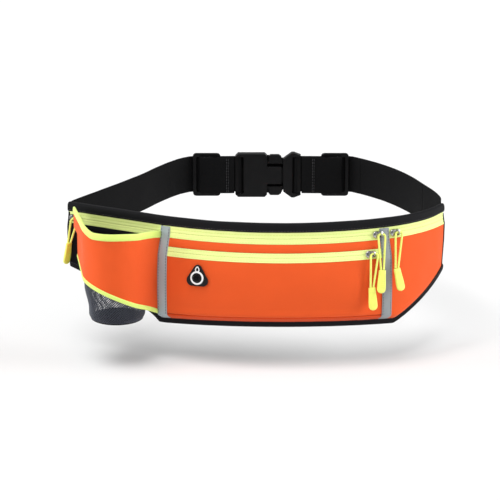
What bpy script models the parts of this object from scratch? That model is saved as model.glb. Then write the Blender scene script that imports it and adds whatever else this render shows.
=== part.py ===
"""Running waist pack: a curved two-pocket front, a bottle pocket on the left wing, a small pocket on the
right wing, and a webbing belt with two tri-glides and a side-release buckle.

Lengths here are in millimetres; the helpers turn them into metres. The origin is the middle of the waist
loop. The front of the pack faces -Y, +X is to the right of someone who faces it, and +Z is up. Most places
are given as (s, out, z): s runs along the back panel's inner face from its left end, and out is the distance
in front of that face.
"""

import math

import bmesh
import bpy
import numpy as np
from mathutils import Matrix, Vector

MM = 0.001
GAP = 0.3

# The back's curve seen from above: a straight left wing, the main arc, and a tighter arc for the right wing.
MAIN_CENTRE = Vector((20.0, 130.0))
MAIN_RADIUS = 264.0
MAIN_FROM = math.radians(-28.0)
MAIN_TO = math.radians(24.6)
LEFT_WING = 100.8
WING_RADIUS = 108.5
WING_TO = math.radians(61.0)
MAIN_ARC = MAIN_RADIUS * (MAIN_TO - MAIN_FROM)
BACK_LENGTH = LEFT_WING + MAIN_ARC + WING_RADIUS * (WING_TO - MAIN_TO)

# The front's profile at the middle of the pack: how far out it stands at each height.
FRONT_HEIGHTS = (-47.7, -41.0, -30.0, -15.0, 0.0, 16.4, 25.4, 33.9, 43.7)
FRONT_OUT = (4.2, 15.0, 18.0, 19.0, 17.8, 14.2, 11.2, 8.0, 6.2)
RIM = 54.0
BINDING_FOOT = 44.0
BOTTOM = -54.0
SKIN_FOOT = -47.7
PANEL_FOOT = -41.0
STRAIGHT_ABOVE = 16.4
GUSSET_TRIM = 0.6

# How the bottom edge falls away from the middle and rises to the two ends.
EDGE_DROP = 4.5
EDGE_REACH = 115.0
LEFT_RISE = 43.0
LEFT_RISE_FROM = 103.0
LEFT_RISE_POWER = 0.7
RIGHT_RISE = 41.0
RIGHT_RISE_FROM = 343.0
RIGHT_RISE_POWER = 1.05

# Cloth and tape.
BACK_THICK = 2.0
PANEL_THICK = 1.4
TAPE_THICK = 1.0
LINING_THICK = 0.6
LEFT_WING_OUT = 9.2
RIGHT_TAPER = 2.0
RIGHT_END_OUT = (6.0, 4.2)

# Where the main pocket's panels begin and end along s, and the reflective strips that cover those seams.
MAIN_LEFT = 110.3
MAIN_RIGHT = 329.8
LEFT_STRIP = 113.4
RIGHT_STRIP = 330.0
STRIP_WIDTH = 10.0
STRIP_THICK = 0.5
LEFT_WING_TO = 106.0
END_TRIM = 1.6
COLUMN = 8.0

# Zips: heights of the tape's outer edges and of the slit between them, and where each slider is parked.
BAND_HIGH = (43.7, 33.9)
BAND_LOW = (25.1, 16.7)
SLIT = 4.4
CHAIN_HEIGHT = 3.8
CHAIN_THICK = 1.0
SLIDER_S = {"main": 323.2, "front": 314.0, "right": 341.3, "left": 8.0}

# Slider: two plates, a post through the slit, and an eye for the cord. Its origin is on the tape's face.
PLATE_LIFT = 1.1
PLATE_THICK = 1.1
BACK_PLATE = (1.4, 2.3)
POST_HALF = 1.0
EYE_X = 2.5
EYE_OUT = 3.4
CORD_DIAMETER = 1.7
CORD_AWAY = 0.9

# Pulls: cord length, how far the grip's top and bottom stand to the side of the slider, lean out of vertical.
PULLS = {
    "main": (35.1, 0.1, -3.4, 14.5),
    "front": (33.0, -1.6, -1.1, 9.0),
    "right": (35.0, -4.0, -1.4, 14.5),
    "left": (26.0, -3.6, -7.0, 3.0),
}
GRIP_LENGTH = 23.0
GRIP_TOP = 7.2
GRIP_FOOT = 9.0
GRIP_THICK = 3.4

# Bottle pocket.
BOTTLE_CENTRE = Vector((-146.0, -126.0))
CUP_RADIUS = 29.8
CUP_FOOT_RADIUS = 27.6
CUP_THICK = 0.8
CUP_FLOOR = -47.5
CUP_CORNER = 7.0
WRAP_RADIUS = 31.9
WRAP_TOP = 48.4
WRAP_BAND = 6.5
WRAP_FOOT_BAND = 4.5

# Earphone port.
PORT_S = 150.4
PORT_Z = -0.5
PORT_TILT = math.radians(-7.5)
PORT_SIZE = 10.6
PORT_THICK = 2.0
PORT_HOLE = 3.0

# Belt and buckle.
BELT_LOW = 14.0
BELT_HIGH = 54.0
BELT_THICK = 1.6
BELT_MIDDLE = (BELT_LOW + BELT_HIGH) / 2
BUCKLE_Y = 119.0
FEMALE_END = -28.0
MALE_END = 43.0
GLIDE_LEFT = -59.0
GLIDE_RIGHT = 80.0
GLIDE_LENGTH = 30.0
GLIDE_HEIGHT = 48.0
GLIDE_THICK = 2.5
GLIDE_BAR = 2.5
GLIDE_END = 4.0
GLIDE_RAIL = 3.0
BAR = 4.5
BELT_LIFT = 0.6
SLOT_CLEAR = 0.35
BAR_BEND = 3.2

# Each half of the belt seen from above: from the pack towards the buckle, then the lead into its tri-glide.
LEFT_ROUTE = (
    (-191.4, -54.7),
    (-186.5, -46.5),
    (-167.5, -18.0),
    (-147.0, 13.0),
    (-126.0, 47.0),
    (-111.5, 75.0),
)
LEFT_LEAD = ((-99.0, 96.5), (-88.0, 111.5))
RIGHT_ROUTE = ((177.9, -61.7), (181.4, -43.0), (177.0, -20.0), (168.0, 7.0), (157.0, 38.0), (145.0, 63.0))
RIGHT_LEAD = ((130.5, 86.0), (116.5, 103.0), (108.0, 112.0))

# Buckle, in its own X and Z from the middle of the belt.
FEMALE_HALF = 24.0
GUIDE_HALF = 9.5
FEMALE_THICK = 9.0
MALE_THICK = 8.0
ARM_THICK = 4.8
ARM_ROOT = (23.6, 14.0)
BAR_SLOT = 20.6
BAR_CUT = 21.0

COLOURS = {
    "orange": ((0.87, 0.115, 0.03), 0.75, 0.0),
    "lime": ((0.80, 0.95, 0.16), 0.55, 0.0),
    "black_cloth": ((0.016, 0.016, 0.02), 0.85, 0.0),
    "webbing": ((0.010, 0.010, 0.012), 0.8, 0.0),
    "mesh": ((0.02, 0.022, 0.035), 0.8, 0.0),
    "reflective": ((0.34, 0.36, 0.37), 0.4, 0.1),
    "metal": ((0.72, 0.72, 0.70), 0.25, 1.0),
    "grip": ((0.80, 0.93, 0.10), 0.45, 0.0),
    "rubber": ((0.012, 0.012, 0.013), 0.6, 0.0),
    "white": ((0.85, 0.85, 0.85), 0.5, 0.0),
    "plastic": ((0.013, 0.013, 0.014), 0.4, 0.0),
}


def clear_scene():
    for obj in list(bpy.data.objects):
        bpy.data.objects.remove(obj, do_unlink=True)


def collection(name):
    made = bpy.data.collections.new(name)
    bpy.context.scene.collection.children.link(made)
    return made


def material(name):
    found = bpy.data.materials.get(name)
    if found:
        return found
    colour, roughness, metallic = COLOURS[name]
    made = bpy.data.materials.new(name)
    made.use_nodes = True
    shader = made.node_tree.nodes["Principled BSDF"]
    shader.inputs["Base Color"].default_value = (*colour, 1.0)
    shader.inputs["Roughness"].default_value = roughness
    shader.inputs["Metallic"].default_value = metallic
    made.diffuse_color = (*colour, 1.0)
    return made


def add(name, mesh, colour, into=None):
    obj = bpy.data.objects.new(name, mesh)
    (into or PARTS).objects.link(obj)
    if colour:
        mesh.materials.clear()
        mesh.materials.append(material(colour))
    return obj


def empty(name, place, turn, parent=None):
    obj = bpy.data.objects.new(name, None)
    PARTS.objects.link(obj)
    obj.empty_display_size = 0.01
    obj.parent = parent
    obj.location = place
    obj.rotation_euler = turn
    return obj


def smooth(x):
    x = min(max(x, 0.0), 1.0)
    return x * x * (3 - 2 * x)


# ---------------------------------------------------------------- the pack's curve and surfaces


def heading(s):
    """Angle of the back's curve to +X."""
    along = s - LEFT_WING
    if along <= 0:
        return MAIN_FROM
    if along <= MAIN_ARC:
        return MAIN_FROM + along / MAIN_RADIUS
    return MAIN_TO + (along - MAIN_ARC) / WING_RADIUS


def outward(angle):
    return Vector((math.sin(angle), -math.cos(angle)))


WING_CENTRE = MAIN_CENTRE + (MAIN_RADIUS - WING_RADIUS) * outward(MAIN_TO)


def rail(s):
    """The back panel's inner face seen from above, s along it."""
    angle = heading(s)
    if s <= LEFT_WING:
        along = Vector((math.cos(angle), math.sin(angle)))
        return MAIN_CENTRE + MAIN_RADIUS * outward(angle) + (s - LEFT_WING) * along
    if s <= LEFT_WING + MAIN_ARC:
        return MAIN_CENTRE + MAIN_RADIUS * outward(angle)
    return WING_CENTRE + WING_RADIUS * outward(angle)


def place(s, out, z):
    flat = rail(s) + out * outward(heading(s))
    return Vector((flat.x, flat.y, z))


def front_out(height):
    """The front's profile as a smooth curve through its stated points."""
    heights, outs = FRONT_HEIGHTS, FRONT_OUT
    slopes = [float(slope) for slope in np.gradient(outs, heights)]
    n = int(np.clip(np.searchsorted(heights, height) - 1, 0, len(heights) - 2))
    width = heights[n + 1] - heights[n]
    t = (min(max(height, heights[0]), heights[-1]) - heights[n]) / width
    first = outs[n] * (1 + 2 * t) * (1 - t) ** 2 + slopes[n] * width * t * (1 - t) ** 2
    return first + outs[n + 1] * t * t * (3 - 2 * t) - slopes[n + 1] * width * t * t * (1 - t)


def edge_shift(s):
    """How far the bottom edge lies above its height at the middle."""
    shift = -EDGE_DROP * min(abs((rail(s).x - MAIN_CENTRE.x) / EDGE_REACH), 1.0) ** 2
    if s < LEFT_RISE_FROM:
        shift += LEFT_RISE * ((LEFT_RISE_FROM - s) / LEFT_RISE_FROM) ** LEFT_RISE_POWER
    if s > RIGHT_RISE_FROM:
        along = (s - RIGHT_RISE_FROM) / (BACK_LENGTH - RIGHT_RISE_FROM)
        shift += RIGHT_RISE * min(along, 1.0) ** RIGHT_RISE_POWER
    return shift


def height_at(s, height):
    """The profile's height carried to s, where the panels below the zips follow the bottom edge."""
    share = (STRAIGHT_ABOVE - height) / (STRAIGHT_ABOVE - PANEL_FOOT)
    return height + min(max(share, 0.0), 1.0) * edge_shift(s)


def profile_height(s, z):
    """The inverse of height_at."""
    shift = edge_shift(s)
    if z >= STRAIGHT_ABOVE:
        return z
    span = STRAIGHT_ABOVE - PANEL_FOOT
    height = (z - shift * STRAIGHT_ABOVE / span) / (1 - shift / span)
    return height if height > PANEL_FOOT else z - shift


TAPE_OUT = front_out(sum(BAND_HIGH) / 2)


def wing_zip():
    """Centre and radius of the arc that the right wing's zip follows."""
    start = RIGHT_STRIP + STRIP_WIDTH / 2
    away = outward(heading(start))
    first = rail(start) + TAPE_OUT * away
    last = rail(BACK_LENGTH) + (TAPE_OUT - RIGHT_TAPER) * outward(heading(BACK_LENGTH))
    chord = last - first
    radius = -chord.length_squared / (2 * chord.dot(away))
    return first - radius * away, radius


WING_ZIP_CENTRE, WING_ZIP_RADIUS = wing_zip()


def taper(s):
    """0 along the main pocket, rising to 1 at the right end, so that the wing's zip lies on its arc."""
    if s <= RIGHT_STRIP + STRIP_WIDTH / 2:
        return 0.0
    away = outward(heading(s))
    inner = rail(s) - WING_ZIP_CENTRE
    half = inner.dot(away)
    out = -half + math.sqrt(half * half - inner.length_squared + WING_ZIP_RADIUS**2)
    return (TAPE_OUT - out) / RIGHT_TAPER


def skin_out(s, height):
    """How far the outer skin stands out."""
    out = front_out(height)
    if s < MAIN_LEFT:
        return min(out, LEFT_WING_OUT)
    share = (BAND_HIGH[1] - height) / (BAND_HIGH[1] - SKIN_FOOT)
    high, low = RIGHT_END_OUT
    end = out - RIGHT_TAPER if share <= 0 else high + (low - high) * share
    return out - taper(s) * (out - end)


def skin_point(s, height, more=0.0):
    return place(s, skin_out(s, height) + more, height_at(s, height))


# ---------------------------------------------------------------- mesh helpers


def steps(low, high, spacing):
    return np.linspace(low, high, max(2, round(abs(high - low) / spacing) + 1)).tolist()


def grid(name, columns, closed=False):
    """A mesh of quads from columns of points in millimetres, each column running from top to bottom."""
    mesh = bpy.data.meshes.new(name)
    bm = bmesh.new()
    made = [[bm.verts.new(point * MM) for point in column] for column in columns]
    pairs = list(zip(made, made[1:]))
    if closed:
        pairs.append((made[-1], made[0]))
    for left, right in pairs:
        for row in range(len(left) - 1):
            bm.faces.new((left[row], left[row + 1], right[row + 1], right[row]))
    bm.to_mesh(mesh)
    bm.free()
    return mesh


def solidify(obj, thickness, offset=-1.0):
    modifier = obj.modifiers.new("thickness", "SOLIDIFY")
    modifier.thickness = thickness * MM
    modifier.offset = offset
    modifier.use_even_offset = True
    return obj


def bevel(obj, width, segments=1, angle=50.0):
    modifier = obj.modifiers.new("edges", "BEVEL")
    modifier.width = width * MM
    modifier.segments = segments
    modifier.limit_method = "ANGLE"
    modifier.angle_limit = math.radians(angle)
    return obj


def boolean(obj, other, operation="DIFFERENCE"):
    modifier = obj.modifiers.new(operation.lower(), "BOOLEAN")
    modifier.operation = operation
    modifier.object = other
    return obj


def as_cutter(obj):
    obj.hide_render = True
    obj.display_type = "WIRE"
    return obj


def box_mesh(name, low, high):
    bm = bmesh.new()
    bmesh.ops.create_cube(bm, size=1.0)
    low, high = Vector(low) * MM, Vector(high) * MM
    for vert in bm.verts:
        vert.co = Vector((low[i] + (vert.co[i] + 0.5) * (high[i] - low[i]) for i in range(3)))
    mesh = bpy.data.meshes.new(name)
    bm.to_mesh(mesh)
    bm.free()
    return mesh


def cutter_box(name, low, high, matrix=None):
    obj = add(name, box_mesh(name, low, high), None, CUTTERS)
    if matrix:
        obj.matrix_world = matrix
    return as_cutter(obj)


def baked(obj):
    """The object's mesh with its modifiers applied, and the object itself removed."""
    bpy.context.view_layer.update()
    graph = bpy.context.evaluated_depsgraph_get()
    mesh = bpy.data.meshes.new_from_object(obj.evaluated_get(graph))
    bpy.data.objects.remove(obj, do_unlink=True)
    bm = bmesh.new()
    bm.from_mesh(mesh)
    bmesh.ops.remove_doubles(bm, verts=bm.verts, dist=1e-6)
    bmesh.ops.recalc_face_normals(bm, faces=bm.faces)
    bm.to_mesh(mesh)
    bm.free()
    return mesh


def flat_shape(name, outlines, half):
    """A flat outline with holes, in X and Z, with its thickness along Y."""
    curve = bpy.data.curves.new(name, "CURVE")
    curve.dimensions = "2D"
    curve.fill_mode = "BOTH"
    curve.extrude = half * MM
    for points in outlines:
        spline = curve.splines.new("POLY")
        spline.points.add(len(points) - 1)
        for point, (x, z) in zip(spline.points, points):
            point.co = (x * MM, z * MM, 0, 1)
        spline.use_cyclic_u = True
    obj = bpy.data.objects.new(name, curve)
    PARTS.objects.link(obj)
    mesh = baked(obj)
    mesh.transform(Matrix.Rotation(math.pi / 2, 4, "X"))
    return mesh


def rounded(x0, x1, z0, z1, radius, turns=3):
    """A rectangle with round corners."""
    points = []
    corners = ((x1, z1, 0), (x0, z1, 90), (x0, z0, 180), (x1, z0, 270))
    for x, z, start in corners:
        cx = x - radius if x == x1 else x + radius
        cz = z - radius if z == z1 else z + radius
        for n in range(turns + 1):
            angle = math.radians(start + 90 * n / turns)
            points.append((cx + radius * math.cos(angle), cz + radius * math.sin(angle)))
    return points


def ring(radius, count, x=0.0, z=0.0):
    turns = [2 * math.pi * n / count for n in range(count)]
    return [(x + radius * math.cos(a), z + radius * math.sin(a)) for a in turns]


def through(points, spacing):
    """Points along a smooth curve through the given ones."""
    ends = [2 * points[0] - points[1], *points, 2 * points[-1] - points[-2]]
    curve = []
    for p0, p1, p2, p3 in zip(ends, ends[1:], ends[2:], ends[3:]):
        count = max(1, round((p2 - p1).length / spacing))
        for n in range(count):
            t = n / count
            bend = 2 * p0 - 5 * p1 + 4 * p2 - p3
            twist = 3 * p1 - p0 - 3 * p2 + p3
            curve.append(0.5 * (2 * p1 + (p2 - p0) * t + bend * t**2 + twist * t**3))
    return [*curve, points[-1]]


def skin(name, s_range, heights, colour, thick=PANEL_THICK):
    columns = []
    for s in steps(*s_range, COLUMN):
        columns.append([skin_point(s, height) for height in heights])
    return solidify(add(name, grid(name, columns), colour), thick)


def edge_band(name, stations, colour, width=0.8):
    """A solid strip swept through sections, each given by four corners."""
    mesh = bpy.data.meshes.new(name)
    bm = bmesh.new()
    made = [[bm.verts.new(point * MM) for point in section] for section in stations]
    for left, right in zip(made, made[1:]):
        for n in range(4):
            m = (n + 1) % 4
            bm.faces.new((left[n], left[m], right[m], right[n]))
    bm.faces.new(made[0])
    bm.faces.new(made[-1])
    bmesh.ops.recalc_face_normals(bm, faces=bm.faces)
    bm.to_mesh(mesh)
    bm.free()
    return bevel(add(name, mesh, colour), width)


# ---------------------------------------------------------------- panels


def back():
    """The back has one flat facet in its middle and follows its curve to both sides."""
    middle = LEFT_WING - MAIN_RADIUS * MAIN_FROM
    half = 15.0
    heights = (BAND_HIGH[0], STRAIGHT_ABOVE, PANEL_FOOT, SKIN_FOOT)
    left = steps(END_TRIM, middle - half, COLUMN)
    right = steps(middle + half, BACK_LENGTH - END_TRIM, COLUMN)
    columns = []
    for s in (*left, *right):
        columns.append([place(s, BACK_THICK, height_at(s, height)) for height in heights])
    return solidify(add("back_panel", grid("back_panel", columns), "black_cloth"), BACK_THICK)


def lining():
    """The sheet that hangs between the main compartment and the front pocket."""
    reach = 9.5
    behind = 2.1
    columns = []
    for s in steps(MAIN_LEFT + 2.0, MAIN_RIGHT - 5.0, COLUMN):
        column = []
        for height in (32.0, 24.0, 0.0, -30.0, -40.0, -45.0):
            out = min(reach, front_out(height) - behind)
            column.append(place(s, out, height_at(s, height)))
        columns.append(column)
    sheet = add("pocket_divider", grid("pocket_divider", columns), "black_cloth")
    return solidify(sheet, LINING_THICK)


def end_wall(name, s):
    """The lining that closes a compartment from the back panel to the front."""
    heights = (43.2, 33.0, 25.0, 16.4, 0.0, -15.0, -30.0, -41.0, -44.0)
    columns = []
    for share in (0.0, 1.0):
        column = []
        for height in heights:
            outer = front_out(height) - PANEL_THICK - GAP
            inner = BACK_THICK + GAP
            column.append(place(s, inner + share * (outer - inner), height_at(s, height)))
        columns.append(column)
    return solidify(add(name, grid(name, columns), "black_cloth"), LINING_THICK, 0.0)


def reflective(name, s):
    heights = (43.5, 38.8, 33.9, 29.6, 25.4, 20.9, 16.4, 8.0, 0.0, -8.0, -15.0, -23.0, -30.0, -36.0, -40.6)
    columns = []
    for edge in (-STRIP_WIDTH / 2, 0.0, STRIP_WIDTH / 2):
        column = []
        for height in heights:
            out = front_out(height) - taper(s + edge) * RIGHT_TAPER
            column.append(place(s + edge, out + GAP + STRIP_THICK, height_at(s + edge, height)))
        columns.append(column)
    return solidify(add(name, grid(name, columns), "reflective"), STRIP_THICK)


def panels():
    body = (MAIN_LEFT, MAIN_RIGHT)
    left = (END_TRIM, LEFT_WING_TO)
    right = (RIGHT_STRIP + 0.2, BACK_LENGTH - END_TRIM)
    mid = (BAND_HIGH[1] - GAP, 29.6, BAND_LOW[0] + GAP)
    lower = (16.4, 8.0, 0.0, -7.5, -15.0, -22.5, -30.0, -36.0, PANEL_FOOT)
    skin("mid_strip", body, mid, "orange")
    front = skin("front_panel", body, lower, "orange")
    gusset = skin("bottom_gusset", body, (PANEL_FOOT - GAP, -44.5, SKIN_FOOT + GUSSET_TRIM), "orange")
    gusset.modifiers["thickness"].offset = 1.0
    wing = (BAND_HIGH[1] - GAP, 25.4, *lower, -44.5, SKIN_FOOT)
    skin("right_wing_panel", right, wing, "orange")
    skin("left_wing_panel", left, (BAND_HIGH[1] - GAP, STRAIGHT_ABOVE, PANEL_FOOT, SKIN_FOOT), "black_cloth")
    end_wall("left_end_wall", MAIN_LEFT + 0.7)
    end_wall("right_end_wall", MAIN_RIGHT - 0.7)
    reflective("reflective_strip_left", LEFT_STRIP)
    reflective("reflective_strip_right", RIGHT_STRIP)
    return front


def bindings():
    top = []
    foot = []
    for s in steps(0.0, BACK_LENGTH, COLUMN):
        out = skin_out(s, BAND_HIGH[0])
        corners = ((0, BINDING_FOOT), (out, BINDING_FOOT), (out, RIM), (0, RIM))
        top.append([place(s, away, z) for away, z in corners])
        out = FRONT_OUT[0]
        low = height_at(s, BOTTOM)
        high = height_at(s, SKIN_FOOT) - GAP
        corners = ((0, low), (out, low), (out, high), (0, high))
        foot.append([place(s, away, z) for away, z in corners])
    edge_band("top_binding", top, "black_cloth")
    edge_band("bottom_binding", foot, "black_cloth")
    ends = {
        "left_end_binding": (0.0, END_TRIM - GAP),
        "right_end_binding": (BACK_LENGTH - END_TRIM + GAP, BACK_LENGTH),
    }
    for name, (first, last) in ends.items():
        sections = []
        for height in (BAND_HIGH[0], BAND_HIGH[1], 0.0, SKIN_FOOT + GAP):
            out = skin_out(last, height)
            z = height_at(last, height)
            corners = ((first, 0), (last, 0), (last, out), (first, out))
            sections.append([place(s, away, z) for s, away in corners])
        edge_band(name, sections, "black_cloth", 0.3)


# ---------------------------------------------------------------- bottle pocket


def wrap_top(x):
    right = max(0.0, (x - BOTTLE_CENTRE.x) / 48.0)
    left = max(0.0, (BOTTLE_CENTRE.x - x) / 41.0)
    return WRAP_TOP - 12.0 * right**2.3 + 5.5 * smooth((left - 0.5) / 0.35)


def wrap_foot(x):
    share = min(max((x + 187.0) / 89.0, 0.0), 1.0)
    return -2.0 - 34.0 * share - 14.0 * share**4


def wrap_route(z):
    """Seen from above: from the left wing's end round the bottle to the left strip."""
    notch = 6.0 * smooth((z - 29.0) / 4.0)
    left = place(13.0, LEFT_WING_OUT + PANEL_THICK + 0.4 + notch, 0).xy
    right = place(108.0, front_out(profile_height(108.0, z)) - 0.1, 0).xy
    ends = []
    for end, side in ((left, 1), (right, -1)):
        away = end - BOTTLE_CENTRE
        swing = side * math.acos(WRAP_RADIUS / away.length)
        ends.append(math.atan2(away.y, away.x) + swing)
    first, last = ends
    while last < first:
        last += 2 * math.pi
    tangents = [BOTTLE_CENTRE + WRAP_RADIUS * Vector((math.cos(a), math.sin(a))) for a in (first, last)]
    points = [left + (tangents[0] - left) * n / 6 for n in range(6)]
    for n in range(17):
        angle = first + (last - first) * n / 16
        points.append(BOTTLE_CENTRE + WRAP_RADIUS * Vector((math.cos(angle), math.sin(angle))))
    return points + [tangents[1] + (right - tangents[1]) * n / 4 for n in range(1, 5)]


def wrap_piece(name, edges, colour, thick, rows):
    """A strip of the wrap between two edges, each a function of x."""
    flat = wrap_route(0.0)
    columns = []
    for n, spot in enumerate(flat):
        high, low = (edge(spot.x) for edge in edges)
        column = []
        for z in np.linspace(high, low, rows).tolist():
            point = wrap_route(z)[n]
            column.append(Vector((point.x, point.y, z)))
        columns.append(column)
    return solidify(add(name, grid(name, columns), colour), thick)


def bottle_pocket():
    wrap_piece("pocket_top_binding", (wrap_top, lambda x: wrap_top(x) - WRAP_BAND), "lime", PANEL_THICK, 3)
    sides = (lambda x: wrap_top(x) - WRAP_BAND - GAP, lambda x: wrap_foot(x) + WRAP_FOOT_BAND + GAP)
    wrap_piece("pocket_wrap", sides, "orange", PANEL_THICK, 9)
    sides = (lambda x: wrap_foot(x) + WRAP_FOOT_BAND, wrap_foot)
    wrap_piece("pocket_bottom_binding", sides, "lime", PANEL_THICK, 2)
    mesh_cup()


def cup_point(away, z, inset=0.0):
    """A point of the cup's wall, which narrows towards its foot on the side away from the strip."""
    narrow = (CUP_RADIUS - CUP_FOOT_RADIUS) * smooth((-12.0 - z) / 24.0)
    flat = BOTTLE_CENTRE + Vector((0.8 * narrow, 0)) + (CUP_RADIUS - narrow - inset) * away
    return Vector((flat.x, flat.y, z))


def mesh_cup():
    columns = []
    count = 32
    for n in range(count):
        angle = 2 * math.pi * n / count
        away = Vector((math.cos(angle), math.sin(angle)))
        top = wrap_foot(BOTTLE_CENTRE.x + CUP_RADIUS * away.x) + WRAP_FOOT_BAND + 2.0
        rows = [cup_point(away, z) for z in np.linspace(top, CUP_FLOOR + CUP_CORNER, 4).tolist()]
        for turn in (30, 60, 90):
            bend = math.radians(turn)
            z = CUP_FLOOR + CUP_CORNER * (1 - math.sin(bend))
            rows.append(cup_point(away, z, CUP_CORNER * (1 - math.cos(bend))))
        columns.append(rows)
    mesh = grid("mesh_cup", columns, closed=True)
    bm = bmesh.new()
    bm.from_mesh(mesh)
    bm.verts.ensure_lookup_table()
    rows = len(columns[0])
    bm.faces.new([bm.verts[n * rows + rows - 1] for n in reversed(range(count))])
    bmesh.ops.recalc_face_normals(bm, faces=bm.faces)
    bm.to_mesh(mesh)
    bm.free()
    return solidify(add("mesh_cup", mesh, "mesh"), CUP_THICK)


# ---------------------------------------------------------------- earphone port


def port(front):
    """A rubber patch with a hole through it and the panel, and a moulded ring on its face."""
    place_at = skin_point(PORT_S, PORT_Z, GAP + 0.3)
    matrix = Matrix.Translation(place_at * MM) @ Matrix.Rotation(heading(PORT_S), 4, "Z")
    matrix = matrix @ Matrix.Rotation(PORT_TILT, 4, "X")
    outline = []
    corners = ((-PORT_SIZE, PORT_SIZE, 90), (0.0, -PORT_SIZE, 210), (PORT_SIZE, PORT_SIZE, 330))
    radius = 4.5
    for x, z, start in corners:
        inner = Vector((x, z)) * (1 - 1.35 * radius / math.hypot(x, z))
        for n in range(5):
            angle = math.radians(start + 120 * n / 4)
            outline.append((inner.x + radius * math.cos(angle), inner.y + radius * math.sin(angle)))
    mesh = flat_shape("port_patch", (outline, ring(PORT_HOLE, 16)), PORT_THICK / 2)
    patch = bevel(add("port_patch", mesh, "rubber"), 0.5)
    patch.matrix_world = matrix @ Matrix.Translation((0, -PORT_THICK / 2 * MM, 0))
    half = 0.4
    piece = add("port_ring", flat_shape("port_ring", (ring(6.4, 28), ring(4.6, 28)), half), "white")
    tear = flat_shape("port_tear", (ring(2.6, 16, 0, 7.2), ring(1.2, 12, 0, 7.4)), half)
    loop = as_cutter(add("port_tear", tear, None, CUTTERS))
    front_of = matrix @ Matrix.Translation((0, (-PORT_THICK - GAP - half) * MM, 0))
    piece.matrix_world = front_of
    loop.matrix_world = front_of
    boolean(piece, loop, "UNION")
    drill = add("port_drill", flat_shape("port_drill", (ring(PORT_HOLE + 0.4, 16),), 6.0), None, CUTTERS)
    drill.matrix_world = matrix
    boolean(front, as_cutter(drill))


# ---------------------------------------------------------------- zips


def slider_mesh():
    """Two plates joined by a post, with a square eye on the front plate."""
    outline = [(-5.0, -2.2), (-2.5, -3.6), (3.0, -3.6), (5.0, -2.6)]
    outline += [(x, -z) for x, z in reversed(outline)]
    body = add("slider", flat_shape("slider", (outline,), PLATE_THICK / 2), "metal")
    body.data.transform(Matrix.Translation((0, -(PLATE_LIFT + PLATE_THICK / 2) * MM, 0)))
    half = (BACK_PLATE[1] - BACK_PLATE[0]) / 2
    rear = add("rear", flat_shape("rear", (outline,), half), "metal", CUTTERS)
    rear.data.transform(Matrix.Translation((0, (BACK_PLATE[0] + half) * MM, 0)))
    post = box_mesh("post", (-POST_HALF, -PLATE_LIFT - 0.4, -1.5), (POST_HALF, BACK_PLATE[0] + 0.4, 1.5))
    post = add("post", post, "metal", CUTTERS)
    lift = PLATE_LIFT + PLATE_THICK
    eye = box_mesh("eye", (EYE_X - 0.9, -EYE_OUT - 1.9, -2.7), (EYE_X + 0.9, -lift + 0.3, 2.7))
    eye = add("eye", eye, "metal", CUTTERS)
    hole = cutter_box("eye_hole", (EYE_X - 3, -EYE_OUT - 1.1, -1.4), (EYE_X + 3, -lift, 1.4))
    bevel(eye, 0.5)
    boolean(eye, hole)
    for other in (rear, post, eye):
        boolean(body, other, "UNION")
    mesh = baked(body)
    for other in (rear, post, eye, hole):
        bpy.data.objects.remove(other, do_unlink=True)
    return mesh


def cord_curve(name, length, side):
    """The cord's loop: up from the grip, through the eye along X, and down. The eye is at the origin."""
    left, right = -EYE_X - 1.2, EYE_X + 1.6
    spread = 1.5
    foot = length - 2.5 * GAP

    def strand(x0, x1):
        points = []
        for share in (0.12, 0.35, 0.65, 1.0):
            away = CORD_AWAY * smooth(length * share / 4)
            points.append(Vector((x0 + (x1 - x0) * share, -away, -foot * share)))
        return points

    lefts = strand(left, side - EYE_X - spread)
    rights = strand(right, side - EYE_X + spread)
    top = [Vector((left + 0.4, -0.15, -1.6)), Vector((left + 1.5, 0, -0.25)), Vector((-0.9, 0, 0))]
    top += [Vector((0.9, 0, 0)), Vector((right - 1.5, 0, -0.25)), Vector((right - 0.4, -0.15, -1.6))]
    route = through([*reversed(lefts), *top, *rights], 2.5)
    curve = bpy.data.curves.new(name, "CURVE")
    curve.dimensions = "3D"
    curve.bevel_depth = CORD_DIAMETER / 2 * MM
    curve.bevel_resolution = 2
    curve.use_fill_caps = True
    spline = curve.splines.new("POLY")
    spline.points.add(len(route) - 1)
    for point, spot in zip(spline.points, route):
        point.co = (*(spot * MM), 1)
    curve.materials.append(material("lime"))
    return curve


def grip_mesh():
    """A moulded grip that widens to a round end. Its top is at the origin and it hangs down."""
    outline = [(-GRIP_TOP / 2, 0.0)]
    low = GRIP_LENGTH - GRIP_FOOT / 2
    for n in range(9):
        angle = math.pi + math.pi * n / 8
        outline.append((GRIP_FOOT / 2 * math.cos(angle), -low + GRIP_FOOT / 2 * math.sin(angle)))
    outline.append((GRIP_TOP / 2, 0.0))
    return flat_shape("grip", (outline,), GRIP_THICK / 2)


def slider_place(zip_name):
    """Where the slider's origin is, its heading, and the tape's slope there."""
    s = SLIDER_S[zip_name]
    band = BAND_LOW if zip_name == "front" else BAND_HIGH
    middle = sum(band) / 2
    slope = (front_out(band[1]) - front_out(band[0])) / (band[0] - band[1])
    spot = skin_point(s, middle)
    turn = heading(s)
    if zip_name == "right":
        away = spot.xy - WING_ZIP_CENTRE
        turn = math.atan2(away.x, -away.y)
    return spot, turn, math.atan(slope)


ZIP_AXES = {"main": MAIN_CENTRE, "front": MAIN_CENTRE, "right": WING_ZIP_CENTRE, "left": None}
ZIP_SPANS = {
    "main": (MAIN_LEFT, MAIN_RIGHT),
    "front": (MAIN_LEFT, MAIN_RIGHT),
    "right": (RIGHT_STRIP + 0.2, BACK_LENGTH - END_TRIM),
    "left": (END_TRIM, LEFT_WING_TO),
}


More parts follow.
